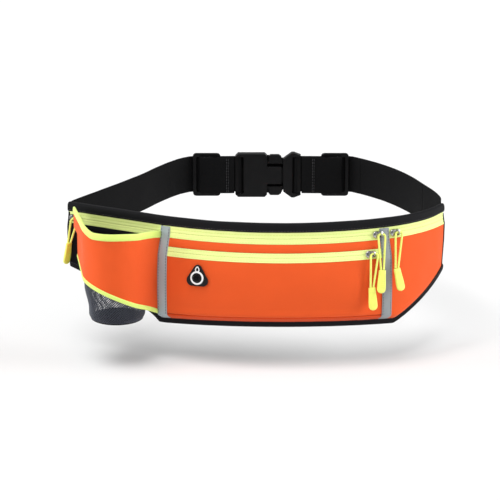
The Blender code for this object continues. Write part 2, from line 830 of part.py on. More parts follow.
def zip_fastener(name, shared_slider, shared_grip):
    first, last = ZIP_SPANS[name]
    high, low = BAND_LOW if name == "front" else BAND_HIGH
    middle = (high + low) / 2
    skin(f"{name}_zip_tape_upper", (first, last), (high, middle + SLIT / 2), "lime", TAPE_THICK)
    skin(f"{name}_zip_tape_lower", (first, last), (middle - SLIT / 2, low), "lime", TAPE_THICK)
    post = POST_HALF + GAP
    parked = SLIDER_S[name]
    if name in ("main", "front"):
        chain_span = (first + 1.5, parked - post)
    else:
        chain_span = (parked + post, last - 1.5)
    chain_rows = (middle + CHAIN_HEIGHT / 2, middle - CHAIN_HEIGHT / 2)
    skin(f"{name}_zip_chain", chain_span, chain_rows, "lime", CHAIN_THICK)

    spot, turn, slope = slider_place(name)
    axis = ZIP_AXES[name]
    centre = Vector((axis.x, axis.y, 0)) if axis else Vector((spot.x, spot.y, 0))
    pivot = empty(f"{name}_zip_axis", centre * MM, (0, 0, 0))
    carriage = empty(f"{name}_zip_carriage", (spot - centre) * MM, (0, 0, turn), pivot)
    slider = add(f"{name}_zip_slider", shared_slider, None)
    slider.parent = carriage
    slider.rotation_euler = (-slope, 0, 0)
    length, side, foot_side, lean = PULLS[name]
    eye = Matrix.Rotation(-slope, 3, "X") @ Vector((EYE_X, -EYE_OUT, 0))
    hang = empty(f"{name}_pull_axis", eye * MM, (math.radians(-lean), 0, 0), carriage)
    cord = bpy.data.objects.new(f"{name}_pull_cord", cord_curve(f"{name}_pull_cord", length, side))
    PARTS.objects.link(cord)
    cord.parent = hang
    grip = add(f"{name}_pull_grip", shared_grip, None)
    grip.parent = hang
    grip.location = Vector((side - EYE_X, -CORD_AWAY, -length)) * MM
    grip.rotation_euler = (0, -math.atan((foot_side - side) / GRIP_LENGTH), 0)
    bevel(grip, 0.9, 2)


def zips():
    shared_slider = slider_mesh()
    shared_grip = grip_mesh()
    shared_grip.materials.append(material("grip"))
    for name in ZIP_SPANS:
        zip_fastener(name, shared_slider, shared_grip)


# ---------------------------------------------------------------- belt


def strap(name, route, colour="webbing"):
    columns = []
    for spot in route:
        columns.append([Vector((spot.x, spot.y, z)) for z in (BELT_HIGH, BELT_LOW)])
    return solidify(add(name, grid(name, columns), colour), BELT_THICK, 0.0)


def loop_route(glide, bar_end, side, start):
    """From a start point through a tri-glide, round a buckle's bar and back. side is +1 for a bar at +X."""
    behind = GLIDE_THICK / 2 + SLOT_CLEAR + BELT_THICK / 2
    glide_y = BUCKLE_Y + BELT_LIFT
    half = GLIDE_LENGTH / 2
    bar = bar_end + side * (BAR - 0.4)
    points = [
        *start,
        (glide - side * (half + 4.0), glide_y + behind - 1.6),
        (glide - side * (half - 1.0), glide_y + behind),
        (glide - side * (half - 4.0), glide_y + behind - 0.4),
        (glide - side * 2.2, glide_y - behind),
        (glide + side * 2.2, glide_y - behind),
        (glide + side * (half - 4.6), glide_y + behind - 0.4),
        (glide + side * (half - 2.0), glide_y + behind),
        (glide + side * (half + 1.5), glide_y + behind - 0.3),
    ]
    points = [Vector(p) for p in points]
    head = through(points, 2.0)
    turn = []
    middle = Vector((bar, BUCKLE_Y))
    first = Vector((bar_end - side * 1.0, BUCKLE_Y - BAR_BEND))
    turn.append(first)
    for n in range(9):
        angle = -math.pi / 2 + math.pi * n / 8
        turn.append(middle + BAR_BEND * Vector((side * math.cos(angle), math.sin(angle))))
    back_to = [
        Vector((bar_end - side * 2.0, BUCKLE_Y + BAR_BEND)),
        Vector((glide + side * (half + 2.0), glide_y + behind + 2.0)),
        Vector((glide + side * (half - 6.0), glide_y + behind + 2.2)),
    ]
    return head + turn + through(back_to, 3.0)


def belt():
    left = [Vector(p) for p in LEFT_ROUTE]
    right = [Vector(p) for p in RIGHT_ROUTE]
    whole_left = through([*left, *[Vector(p) for p in LEFT_LEAD]], 9.0)
    cut_left = min(range(len(whole_left)), key=lambda n: (whole_left[n] - Vector(LEFT_LEAD[0])).length)
    strap("belt_left", whole_left[: cut_left + 1])
    loop = loop_route(GLIDE_LEFT, FEMALE_END, 1, LEFT_LEAD[1:])
    begin = through([whole_left[cut_left - 1], *[Vector(p) for p in LEFT_LEAD]], 6.0)
    lead = [p for p in begin if p.x > LEFT_LEAD[0][0] + SLOT_CLEAR]
    strap("belt_left_run", lead[:-1] + loop)
    whole_right = through([*right, *[Vector(p) for p in RIGHT_LEAD]], 9.0)
    cut_right = min(range(len(whole_right)), key=lambda n: (whole_right[n] - right[-1]).length)
    strap("belt_right", list(reversed(whole_right[: cut_right + 1])))
    onward = (whole_right[cut_right + 1] - whole_right[cut_right]).normalized()
    begin = [whole_right[cut_right] + onward * 0.4]
    begin += whole_right[cut_right + 1 : -1]
    loop = loop_route(GLIDE_RIGHT, MALE_END, -1, RIGHT_LEAD[2:])
    strap("belt_right_run", begin + loop)
    for name, x in (("tri_glide_left", GLIDE_LEFT), ("tri_glide_right", GLIDE_RIGHT)):
        half, tall = GLIDE_LENGTH / 2, GLIDE_HEIGHT / 2
        high = tall - GLIDE_RAIL
        far = half - GLIDE_END
        outline = rounded(-half, half, -tall, tall, 3.5)
        slots = (rounded(GLIDE_BAR, far, -high, high, 1.0, 1), rounded(-far, -GLIDE_BAR, -high, high, 1.0, 1))
        glide = add(name, flat_shape(name, (outline, *slots), GLIDE_THICK / 2), "plastic")
        glide.location = Vector((x, BUCKLE_Y + BELT_LIFT, BELT_MIDDLE)) * MM
        bevel(glide, 0.4)


def buckle():
    """Side-release buckle. Local X runs along the belt, and the centre is at the belt's middle height."""
    at = Matrix.Translation(Vector((0, BUCKLE_Y, BELT_MIDDLE)) * MM)
    wide, narrow = FEMALE_HALF, GUIDE_HALF
    female_outline = [(FEMALE_END, -BAR_CUT), (-25, -wide), (4, -wide), (6.5, -21.5)]
    female_outline += [(6.5, -narrow), (22, -narrow)]
    female_outline += [(x, -z) for x, z in reversed(female_outline)]
    slot = rounded(FEMALE_END + BAR, -18.6, -BAR_SLOT, BAR_SLOT, 0.8, 1)
    female = flat_shape("buckle_female", (female_outline, slot), FEMALE_THICK / 2)
    female = add("buckle_female", female, "plastic")
    female.matrix_world = at
    trims = (
        ("bar_front", (FEMALE_END - 2, -9, -BAR_CUT), (FEMALE_END + BAR + 0.2, -2.0, BAR_CUT)),
        ("bar_rear", (FEMALE_END - 2, 2.0, -BAR_CUT), (FEMALE_END + BAR + 0.2, 9, BAR_CUT)),
        ("latch_room", (-14, -2.8, -19.0), (4.5, 2.8, 19.0)),
        ("latch_mouth", (4, -2.8, -15.8), (7, 2.8, 15.8)),
        ("guide_room", (0, -2.0, -7.6), (30, 2.0, 7.6)),
    )
    for name, low, high in trims:
        boolean(female, cutter_box(name, low, high, at))

    male_outline = [(-8, -5), (-6, -7), (22.5, -7), (24, -9), (24, -18), (26.5, -20)]
    male_outline += [(33, -24.8), (36, -24.8)]
    male_outline += [(MALE_END, -22), (MALE_END, 22)]
    male_outline += [(x, -z) for x, z in reversed(male_outline[:-2])]
    slot = rounded(33.6, MALE_END - BAR, -BAR_SLOT, BAR_SLOT, 0.8, 1)
    male = add("buckle_male", flat_shape("buckle_male", (male_outline, slot), MALE_THICK / 2), "plastic")
    male.matrix_world = at
    for name, side in (("guide_front", -1), ("guide_rear", 1)):
        low, high = sorted((side * 1.5, side * 9.0))
        boolean(male, cutter_box(name, (-12, low, -12), (24.0, high, 12), at))
    for name, side in (("bar_cut_front", -1), ("bar_cut_rear", 1)):
        low, high = sorted((side * 2.0, side * 9.0))
        first = (MALE_END - BAR - 0.2, low, -BAR_CUT)
        boolean(male, cutter_box(name, first, (MALE_END + 3, high, BAR_CUT), at))

    root_x, root_z = ARM_ROOT
    arm = [(root_x, 12.6), (root_x, 16.2), (21.5, 21.0), (19.0, 22.6), (10.0, 22.6), (8.0, 20.5), (8.0, 15.3)]
    arm += [(4.1, 15.3), (4.1, 17.4), (1.5, 17.4), (-2.0, 14.5), (-2.0, 12.6)]
    for name, side in (("release_arm_upper", 1), ("release_arm_lower", -1)):
        outline = [(x - root_x, side * (z - root_z)) for x, z in arm]
        piece = add(name, flat_shape(name, (outline,), ARM_THICK / 2), "plastic")
        piece.location = Vector((root_x, BUCKLE_Y, BELT_MIDDLE + side * root_z)) * MM
        bevel(piece, 0.4)


clear_scene()
PARTS = collection("waist_pack")
CUTTERS = collection("cutters")
back()
lining()
front_piece = panels()
bindings()
bottle_pocket()
port(front_piece)
zips()
belt()
buckle()
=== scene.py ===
import math

import bmesh
import bpy
import numpy as np
from mathutils import Matrix, Vector, noise


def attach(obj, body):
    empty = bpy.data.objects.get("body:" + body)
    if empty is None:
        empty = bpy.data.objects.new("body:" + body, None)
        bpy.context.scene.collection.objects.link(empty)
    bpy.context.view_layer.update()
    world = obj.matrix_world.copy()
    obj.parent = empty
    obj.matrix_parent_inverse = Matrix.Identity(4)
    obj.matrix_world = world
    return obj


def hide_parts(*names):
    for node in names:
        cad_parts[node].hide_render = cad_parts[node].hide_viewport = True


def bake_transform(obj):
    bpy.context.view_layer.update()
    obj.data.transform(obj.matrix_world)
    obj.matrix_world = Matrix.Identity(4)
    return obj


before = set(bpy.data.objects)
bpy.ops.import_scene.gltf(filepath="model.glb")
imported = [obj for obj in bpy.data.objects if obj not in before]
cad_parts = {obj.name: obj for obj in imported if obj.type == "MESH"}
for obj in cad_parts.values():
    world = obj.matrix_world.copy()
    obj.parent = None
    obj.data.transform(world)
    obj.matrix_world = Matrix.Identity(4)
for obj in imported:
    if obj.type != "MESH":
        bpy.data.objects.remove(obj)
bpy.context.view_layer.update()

MM = 0.001

# ---------------------------------------------------------------- the frame's own sizes, in millimetres

# the back panel seen from above: a straight left wing, a wide arc and a tight right wing
MAIN_CENTRE = Vector((20.0, 130.0))
MAIN_RADIUS = 264.0
MAIN_FROM = math.radians(-28.0)
MAIN_TO = math.radians(24.6)
LEFT_WING = 100.8
WING_RADIUS = 108.5
WING_TO = math.radians(61.0)
MAIN_ARC = MAIN_RADIUS * (MAIN_TO - MAIN_FROM)
BACK_LENGTH = LEFT_WING + MAIN_ARC + WING_RADIUS * (WING_TO - MAIN_TO)

# the front's profile, and the heights of its seams
FRONT_HEIGHTS = (-47.7, -41.0, -30.0, -15.0, 0.0, 16.4, 25.4, 33.9, 43.7)
FRONT_OUT = (4.2, 15.0, 18.0, 19.0, 17.8, 14.2, 11.2, 8.0, 6.2)
RIM = 54.0
BINDING_FOOT = 44.9
BOTTOM = -54.0
SKIN_FOOT = -47.7
PANEL_FOOT = -41.0
SEAM = -39.6
STRAIGHT_ABOVE = 16.4
SKIN_TOP = 33.6

# how the bottom edge drops in the middle and rises along the wings
EDGE_DROP = 4.5
EDGE_REACH = 115.0
LEFT_RISE = 43.0
LEFT_RISE_FROM = 103.0
LEFT_RISE_POWER = 0.7
RIGHT_RISE = 41.0
RIGHT_RISE_FROM = 343.0
RIGHT_RISE_POWER = 1.05

BACK_THICK = 2.0
PANEL_THICK = 1.4
LEFT_WING_OUT = 9.2
LEFT_WING_TO = 106.0
RIGHT_TAPER = 2.0
RIGHT_END_OUT = (6.0, 4.2)
BODY = (110.3, 329.8)
LEFT_STRIP = 113.4
RIGHT_STRIP = 330.0
STRIP_WIDTH = 10.0
STRIP_SEAM = 0.76
END_TRIM = 1.6
RIGHT_WING = (RIGHT_STRIP + 0.2, BACK_LENGTH - END_TRIM)

BAND_HIGH = (43.7, 33.9)
BAND_LOW = (25.1, 16.7)
TAPE_GAP = 0.05
TOOTH_PITCH = 1.5
ZIP_SPANS = {"main": BODY, "front": BODY, "right": RIGHT_WING, "left": (END_TRIM, LEFT_WING_TO + 2.8)}
SLIDER_S = {"main": 323.2, "front": 314.0, "right": 341.3, "left": 8.0}
EYE_X = 2.5
EYE_OUT = 3.4
CORD_LOOK = 2.1
CORD_AWAY = 0.9
# each pull: the cord's drop, its sideways drift and the grip foot's, and how many degrees it leans out
PULLS = {
    "main": (35.1, 0.1, -3.4, 14.5),
    "front": (33.0, -1.6, -1.1, 9.0),
    "right": (35.0, -4.0, -1.4, 14.5),
    "left": (26.0, -3.6, -7.0, 3.0),
}
LEFT_GRIP_TWIST = math.radians(76)
GRIP_LENGTH = 23.0
GRIP_TOP = 7.2
GRIP_FOOT = 9.0
GRIP_THICK = 3.4

BOTTLE_CENTRE = Vector((-146.0, -126.0))
CUP_RADIUS = 29.8
CUP_FOOT_RADIUS = 27.6
CUP_FLOOR = -47.5
CUP_CORNER = 7.0
CUP_CELLS = 84
CUP_ROWS = 24
WRAP_RADIUS = 31.9
WRAP_TOP = 48.4
WRAP_BAND = 6.5
WRAP_FOOT_BAND = 4.5
WRAP_START_S = 13.0
WRAP_END_S = 108.9

PORT_S = 150.4
PORT_Z = -0.5
PORT_TILT = math.radians(-7.5)
PORT_HOLE = 3.0

BELT_LOW = 14.0
BELT_HIGH = 54.0
BELT_THICK = 1.6
BELT_MIDDLE = (BELT_LOW + BELT_HIGH) / 2
BUCKLE_Y = 119.0
BELT_LIFT = 0.6
SLOT_CLEAR = 0.35
BAR_BEND = 3.2
FEMALE_END = -28.0
MALE_END = 43.0
GLIDE_LEFT = -59.0
GLIDE_RIGHT = 80.0
GLIDE_LENGTH = 30.0
GLIDE_THICK = 2.5
BAR = 4.5
# the belt's middle line seen from above, from each end seam to its tri-glide
LEFT_ROUTE = (
    (-191.4, -54.7), (-186.5, -46.5), (-167.5, -18.0), (-147.0, 13.0), (-126.0, 47.0), (-111.5, 75.0),
    (-99.0, 96.5), (-88.0, 111.5),
)
LEFT_JOIN = 6
RIGHT_ROUTE = (
    (179.6, -58.0), (181.4, -43.0), (177.0, -20.0), (168.0, 7.0), (157.0, 38.0), (145.0, 63.0),
    (130.5, 86.0), (116.5, 103.0), (108.0, 112.0),
)
RIGHT_JOIN = 3

FLOOR = -0.095
FLOOR_HALF = 9.0
CAMERA_ELEVATION = math.radians(17.0)
CAMERA_DISTANCE = 2.4
CAMERA_AIM = Vector((-0.012, -0.050, 0.0))
CAMERA_LENS = 169.2


# ---------------------------------------------------------------- small sums


def smooth(x):
    x = min(max(x, 0.0), 1.0)
    return x * x * (3 - 2 * x)


def inside(value, low, high, reach):
    """0 at both ends of a span, rising to 1 within reach of them."""
    return smooth((value - low) / reach) * smooth((high - value) / reach)


def bell(x, width):
    """1 at zero, falling away evenly on both sides."""
    return math.exp(-((x / width) ** 2))


def wobble(x, y, size, seed):
    """Smooth noise from -1 to 1."""
    return noise.noise(Vector((x / size, y / size, seed)))


def squared(value, power):
    """Squares off a cosine or sine, which makes a rounded rectangle of a circle."""
    return math.copysign(abs(value) ** power, value)


def polar(angle):
    return Vector((math.cos(angle), math.sin(angle)))


def spin(count):
    """Directions evenly round a circle."""
    return [polar(2 * math.pi * n / count) for n in range(count)]


def steps(low, high, spacing):
    return np.linspace(low, high, max(2, round(abs(high - low) / spacing) + 1)).tolist()


def running(points):
    """How far along a line each of its points lies."""
    total = [0.0]
    for a, b in zip(points, points[1:]):
        total.append(total[-1] + (b - a).length)
    return total


def through(points, spacing):
    """Points along a smooth curve through the given ones."""
    points = [Vector(point) for point in points]
    ends = [2 * points[0] - points[1], *points, 2 * points[-1] - points[-2]]
    curve = []
    for p0, p1, p2, p3 in zip(ends, ends[1:], ends[2:], ends[3:]):
        count = max(1, round((p2 - p1).length / spacing))
        bend = 2 * p0 - 5 * p1 + 4 * p2 - p3
        twist = 3 * p1 - p0 - 3 * p2 + p3
        for n in range(count):
            t = n / count
            curve.append(0.5 * (2 * p1 + (p2 - p0) * t + bend * t**2 + twist * t**3))
    return [*curve, points[-1]]


def sideways(line, n):
    """The level direction across a line at its nth point."""
    before, after = line[max(n - 1, 0)], line[min(n + 1, len(line) - 1)]
    return Vector((after.y - before.y, before.x - after.x, 0)).normalized()


def closest(line, gap):
    """Which point of a line has the smallest gap."""
    return min(range(len(line)), key=lambda n: gap(line[n]))


# ---------------------------------------------------------------- the pack's curve and surfaces


def heading(s):
    along = s - LEFT_WING
    on_main = min(max(along, 0.0), MAIN_ARC)
    return MAIN_FROM + on_main / MAIN_RADIUS + max(along - MAIN_ARC, 0.0) / WING_RADIUS


def outward(angle):
    return Vector((math.sin(angle), -math.cos(angle)))


WING_CENTRE = MAIN_CENTRE + (MAIN_RADIUS - WING_RADIUS) * outward(MAIN_TO)


def rail(s):
    """The back panel's inner face seen from above, s along it."""
    angle = heading(s)
    if s > LEFT_WING + MAIN_ARC:
        return WING_CENTRE + WING_RADIUS * outward(angle)
    return MAIN_CENTRE + MAIN_RADIUS * outward(angle) + min(s - LEFT_WING, 0.0) * polar(angle)


def place(s, out, z):
    flat = rail(s) + out * outward(heading(s))
    return Vector((flat.x, flat.y, z))


SLOPES = [float(slope) for slope in np.gradient(FRONT_OUT, FRONT_HEIGHTS)]


def front_out(height):
    heights, outs = FRONT_HEIGHTS, FRONT_OUT
    n = int(np.clip(np.searchsorted(heights, height) - 1, 0, len(heights) - 2))
    width = heights[n + 1] - heights[n]
    t = (min(max(height, heights[0]), heights[-1]) - heights[n]) / width
    first = outs[n] * (1 + 2 * t) * (1 - t) ** 2 + SLOPES[n] * width * t * (1 - t) ** 2
    return first + outs[n + 1] * t * t * (3 - 2 * t) - SLOPES[n + 1] * width * t * t * (1 - t)


def edge_shift(s):
    """How far the bottom edge lies above its height at the middle."""
    shift = -EDGE_DROP * min(abs((rail(s).x - MAIN_CENTRE.x) / EDGE_REACH), 1.0) ** 2
    if s < LEFT_RISE_FROM:
        shift += LEFT_RISE * ((LEFT_RISE_FROM - s) / LEFT_RISE_FROM) ** LEFT_RISE_POWER
    if s > RIGHT_RISE_FROM:
        along = (s - RIGHT_RISE_FROM) / (BACK_LENGTH - RIGHT_RISE_FROM)
        shift += RIGHT_RISE * min(along, 1.0) ** RIGHT_RISE_POWER
    return shift


def height_at(s, height):
    share = (STRAIGHT_ABOVE - height) / (STRAIGHT_ABOVE - PANEL_FOOT)
    return height + min(max(share, 0.0), 1.0) * edge_shift(s)


def profile_height(s, z):
    """The inverse of height_at."""
    if z >= STRAIGHT_ABOVE:
        return z
    shift, span = edge_shift(s), STRAIGHT_ABOVE - PANEL_FOOT
    height = (z - shift * STRAIGHT_ABOVE / span) / (1 - shift / span)
    return height if height > PANEL_FOOT else z - shift


TAPE_OUT = front_out(sum(BAND_HIGH) / 2)


def wing_zip():
    """The centre and radius of the right zip's arc, which starts in line with the main one."""
    start = RIGHT_STRIP + STRIP_WIDTH / 2
    away = outward(heading(start))
    first = rail(start) + TAPE_OUT * away
    chord = rail(BACK_LENGTH) + (TAPE_OUT - RIGHT_TAPER) * outward(heading(BACK_LENGTH)) - first
    radius = -chord.length_squared / (2 * chord.dot(away))
    return first - radius * away, radius


WING_ZIP_CENTRE, WING_ZIP_RADIUS = wing_zip()


def taper(s):
    """How far the right wing has thinned at s, from 0 at the strip to 1 at its end."""
    if s <= RIGHT_STRIP + STRIP_WIDTH / 2:
        return 0.0
    inner = rail(s) - WING_ZIP_CENTRE
    half = inner.dot(outward(heading(s)))
    out = -half + math.sqrt(half * half - inner.length_squared + WING_ZIP_RADIUS**2)
    return (TAPE_OUT - out) / RIGHT_TAPER


def body_out(s, height):
    """The front's profile at s. The cloth is drawn straight where the strips are sewn, and swells between them."""
    out = front_out(height)
    if height >= STRAIGHT_ABOVE or height <= PANEL_FOOT:
        return out
    top, foot = front_out(STRAIGHT_ABOVE), front_out(PANEL_FOOT)
    chord = foot + (top - foot) * (height - PANEL_FOOT) / (STRAIGHT_ABOVE - PANEL_FOOT)
    inner = min(s - LEFT_STRIP, RIGHT_STRIP - s) - STRIP_WIDTH / 2
    return chord + (out - chord) * (0.3 + 0.7 * smooth(inner / 34.0))


def skin_out(s, height):
    out = body_out(s, height)
    if s < BODY[0]:
        return min(out, LEFT_WING_OUT)
    share = (BAND_HIGH[1] - height) / (BAND_HIGH[1] - SKIN_FOOT)
    high, low = RIGHT_END_OUT
    end = out - RIGHT_TAPER if share <= 0 else high + (low - high) * share
    return out - taper(s) * (out - end)


def skin_point(s, height, more=0.0):
    return place(s, skin_out(s, height) + more, height_at(s, height))


def grid(ss, hs, out):
    """Columns of points that stand out(s, h) from the back panel's inner face."""
    return [[place(s, out(s, h), height_at(s, h)) for h in hs] for s in ss]


def flat_at(ss, hs):
    """The same grid laid flat."""
    return [[(s, -height_at(s, h)) for h in hs] for s in ss]


def wrap_top(x):
    right = max(0.0, (x - BOTTLE_CENTRE.x) / 48.0)
    left = max(0.0, (BOTTLE_CENTRE.x - x) / 41.0)
    return WRAP_TOP - 12.0 * right**2.3 + 5.5 * smooth((left - 0.5) / 0.35)


def wrap_foot(x):
    share = min(max((x + 187.0) / 89.0, 0.0), 1.0)
    return -2.0 - 34.0 * share - 14.0 * share**4


def wrap_route(z, turns=40, left_steps=12, right_steps=8):
    """The bottle pocket's wrap seen from above at height z, as points left to right."""
    notch = 6.0 * smooth((z - 29.0) / 4.0)
    left = place(WRAP_START_S, LEFT_WING_OUT + PANEL_THICK + 0.4 + notch, 0).xy
    right = place(WRAP_END_S, body_out(WRAP_END_S, profile_height(WRAP_END_S, z)) - 0.1, 0).xy
    ends = []
    for end, side in ((left, 1), (right, -1)):
        away = end - BOTTLE_CENTRE
        ends.append(math.atan2(away.y, away.x) + side * math.acos(WRAP_RADIUS / away.length))
    first, last = ends
    while last < first:
        last += 2 * math.pi
    arc = [BOTTLE_CENTRE + WRAP_RADIUS * polar(first + (last - first) * n / turns) for n in range(turns + 1)]
    before = [left.lerp(arc[0], n / left_steps) for n in range(left_steps)]
    return [*before, *arc, *(arc[-1].lerp(right, n / right_steps) for n in range(1, right_steps + 1))]


# ---------------------------------------------------------------- materials


class Look:
    """A node material under construction. Heights and textures read the piece's own flat map, in millimetres."""

    def __init__(self, name, colour, roughness, metallic=0.0, **sockets):
        self.material = bpy.data.materials.new(name)
        self.material.use_nodes = True
        self.tree = self.material.node_tree
        self.shader = self.tree.nodes["Principled BSDF"]
        self.colour = colour
        sockets.update(Base_Color=(*colour, 1.0), Roughness=roughness, Metallic=metallic)
        for key, value in sockets.items():
            self.shader.inputs[key.replace("_", " ")].default_value = value
        self.flat = self.node("ShaderNodeUVMap", uv_map="flat").outputs["UV"]
        self.space = self.node("ShaderNodeTexCoord").outputs["Object"]

    def node(self, kind, **settings):
        made = self.tree.nodes.new(kind)
        for key, value in settings.items():
            setattr(made, key, value)
        return made

    def link(self, output, target):
        self.tree.links.new(output, target)

    def math(self, operation, *values, clamp=False):
        made = self.node("ShaderNodeMath", operation=operation, use_clamp=clamp)
        for socket, value in zip(made.inputs, values):
            if isinstance(value, (int, float)):
                socket.default_value = value
            else:
                self.link(value, socket)
        return made.outputs[0]

    def times(self, a, b):
        return self.math("MULTIPLY", a, b)

    def add(self, a, b, share=1.0, clamp=False):
        """a plus that share of b."""
        return self.math("MULTIPLY_ADD", b, share, a, clamp=clamp)

    def axes(self):
        made = self.node("ShaderNodeSeparateXYZ")
        self.link(self.flat, made.inputs[0])
        return made.outputs[0], made.outputs[1]

    def wave(self, value, period):
        """0 to 1, repeating every period."""
        return self.add(0.5, self.math("SINE", self.times(value, 2 * math.pi / period)), 0.5)

    def texture(self, kind, size, source=None, stretch=(1, 1, 1), **sockets):
        """A texture with features about size across, in the units of its source."""
        mapping = self.node("ShaderNodeMapping")
        mapping.inputs["Scale"].default_value = [value / size for value in stretch]
        self.link(source or self.flat, mapping.inputs["Vector"])
        made = self.node(kind)
        made.inputs["Scale"].default_value = 1.0
        for key, value in sockets.items():
            made.inputs[key].default_value = value
        self.link(mapping.outputs[0], made.inputs["Vector"])
        return made

    def noise(self, size, detail=2.0, source=None, stretch=(1, 1, 1)):
        return self.texture("ShaderNodeTexNoise", size, source, stretch, Detail=detail).outputs["Fac"]

    def tint(self, factor, low, high):
        """Colours the surface between low and high times its colour, by factor."""
        mixed = self.node("ShaderNodeMix", data_type="RGBA")
        for socket, share in ((6, low), (7, high)):
            mixed.inputs[socket].default_value = (*(min(c * share, 1.0) for c in self.colour), 1.0)
        self.link(factor, mixed.inputs[0])
        self.link(mixed.outputs[2], self.shader.inputs["Base Color"])

    def rough(self, factor, low, high):
        self.link(self.add(low, factor, high - low), self.shader.inputs["Roughness"])

    def bump(self, height, distance, strength):
        """Relief of that depth in millimetres."""
        made = self.node("ShaderNodeBump")
        made.inputs["Strength"].default_value = strength
        made.inputs["Distance"].default_value = distance * MM
        self.link(height, made.inputs["Height"])
        self.link(made.outputs[0], self.shader.inputs["Normal"])

    def surface(self, threads, grain, patch, relief, shade, rough):
        """Relief, colour and roughness from a pattern, a fine grain over it and broad patches of wear. The colour is
        lighter where the pattern stands up and darker in its hollows: painted shade.
        """
        grain_share, depth, strength = relief
        patch_share, thread_share, low, high = shade
        self.bump(self.add(threads, grain, grain_share), depth, strength)
        # painted shade: the pattern's hollows darker and its raised parts lighter; the broad patches are random wear
        self.tint(self.add(self.times(threads, thread_share), patch, patch_share, clamp=True), low, high)
        self.rough(grain, *rough)
        return self.material


def neoprene(name, colour):
    """A smooth stretch knit: fine loops in staggered rows, a soft nap and slight unevenness."""
    look = Look(name, colour, 0.72, Sheen_Weight=0.12, Sheen_Roughness=0.45, Specular_IOR_Level=0.2,
                Sheen_Tint=(1.0, 0.55, 0.35, 1.0))
    u, v = look.axes()
    course = look.wave(look.add(v, look.wave(u, 1.24), 0.3), 0.5)
    knit = look.times(look.wave(u, 0.62), course)
    soft, fine = look.noise(26.0, 3.0), look.noise(0.9)
    look.bump(look.add(look.add(knit, fine, 0.45), soft, 2.5), 0.09, 0.8)
    # lighter on the raised loops and darker between them, painted shade in the knit, over broad random unevenness
    look.tint(look.add(look.add(0.1, knit, 0.35), soft, 0.5, clamp=True), 0.9, 1.07)
    look.rough(fine, 0.62, 0.82)
    return look.material


def twill(name, colour, period=0.55, depth=0.07, roughness=0.6, sheen=0.15, shine=0.3):
    """Woven tape: fine ribs on the diagonal with the weft showing between them."""
    look = Look(name, colour, roughness, Sheen_Weight=sheen, Specular_IOR_Level=shine)
    u, v = look.axes()
    rib = look.wave(look.add(u, v, 0.9), period)
    weft = look.wave(look.add(v, u, -0.5), period * 0.8)
    threads = look.add(look.times(rib, 0.8), weft, 0.4)
    rough = (roughness - 0.08, roughness + 0.1)
    return look.surface(threads, look.noise(1.3), look.noise(18.0), (0.4, depth, 0.8), (0.4, 0.5, 0.9, 1.04), rough)


def webbing(name, colour):
    """Close lengthwise ribs crossed by fine picks, with firm edges."""
    look = Look(name, colour, 0.78, Specular_IOR_Level=0.07)
    u, v = look.axes()
    pick = look.wave(look.add(u, look.wave(v, 2.7), 0.5), 0.75)
    threads = look.add(look.math("POWER", look.wave(v, 1.35), 0.6), pick, 0.45)
    worn = look.noise(30.0, 3.0, stretch=(0.5, 1, 1))
    return look.surface(threads, look.noise(1.6, 3.0), worn, (0.5, 0.16, 0.9), (0.5, 0.4, 0.75, 1.5), (0.62, 0.85))


def grosgrain(name, colour):
    """Folded elastic binding: ribs that run across the strip."""
    look = Look(name, colour, 0.6, Sheen_Weight=0.02, Specular_IOR_Level=0.09)
    u, v = look.axes()
    cross = look.wave(look.add(v, look.wave(u, 1.7), 0.25), 0.6)
    threads = look.add(look.math("POWER", look.wave(u, 0.85), 0.7), cross, 0.3)
    patch = look.noise(22.0)
    return look.surface(threads, look.noise(1.5), patch, (0.35, 0.11, 0.85), (0.45, 0.35, 0.8, 1.35), (0.52, 0.74))


def air_mesh(name, colour):
    """Spacer mesh: a field of small round holes in a springy knit."""
    look = Look(name, colour, 0.85, Sheen_Weight=0.04, Specular_IOR_Level=0.12)
    cell = look.texture("ShaderNodeTexVoronoi", 1.0, stretch=(1 / 2.6, 1 / 2.2, 1.0), Randomness=0.15)
    cell.feature = "DISTANCE_TO_EDGE"
    hole = look.math("MULTIPLY", cell.outputs["Distance"], 4.0, clamp=True)
    grain = look.noise(0.8)
    look.bump(look.add(look.math("SUBTRACT", 1.0, hole), grain, 0.3), 0.45, 0.9)
    # the holes are painted darker than the knit round them: painted shade in the holes, with a random grain
    look.tint(look.add(look.math("SUBTRACT", 0.8, hole), grain, 0.3, clamp=True), 0.5, 1.8)
    return look.material


def reflective_cloth(name, colour):
    """Glass-bead tape: an even grey with a faint sparkle and a fine ground weave."""
    look = Look(name, colour, 0.5, 0.1, Sheen_Weight=0.1, Specular_IOR_Level=0.25)
    u, v = look.axes()
    weave = look.times(look.wave(u, 0.45), look.wave(v, 0.45))
    bead = look.noise(0.35, 1.0)
    patch = look.noise(9.0, 3.0, stretch=(1, 0.5, 1))
    look.bump(look.add(weave, bead, 0.6), 0.05, 0.7)
    # the raised beads are painted lighter, a painted sparkle, over broad random patches
    look.tint(look.add(look.times(bead, 0.3), patch, 0.7, clamp=True), 0.8, 1.16)
    look.rough(bead, 0.34, 0.55)
    return look.material


def thread(name, colour, roughness=0.55):
    """Sewing thread: a twist on the diagonal."""
    look = Look(name, colour, roughness, Sheen_Weight=0.2)
    twist = look.wave(look.math("ADD", *look.axes()), 0.5)
    look.bump(twist, 0.06, 0.8)
    # the twist's ridges lighter and its grooves darker: painted shade
    look.tint(twist, 0.8, 1.1)
    return look.material


def braid(name, colour):
    """Round cord: two sets of strands that cross on the diagonal."""
    look = Look(name, colour, 0.55, Sheen_Weight=0.2, Specular_IOR_Level=0.35)
    one, other = (look.wave(look.math(sign, *look.axes()), 0.9) for sign in ("ADD", "SUBTRACT"))
    strands = look.math("MAXIMUM", one, other)
    look.bump(strands, 0.12, 0.9)
    # the strands lighter and the gaps between them darker: painted shade
    look.tint(strands, 0.72, 1.04)
    return look.material


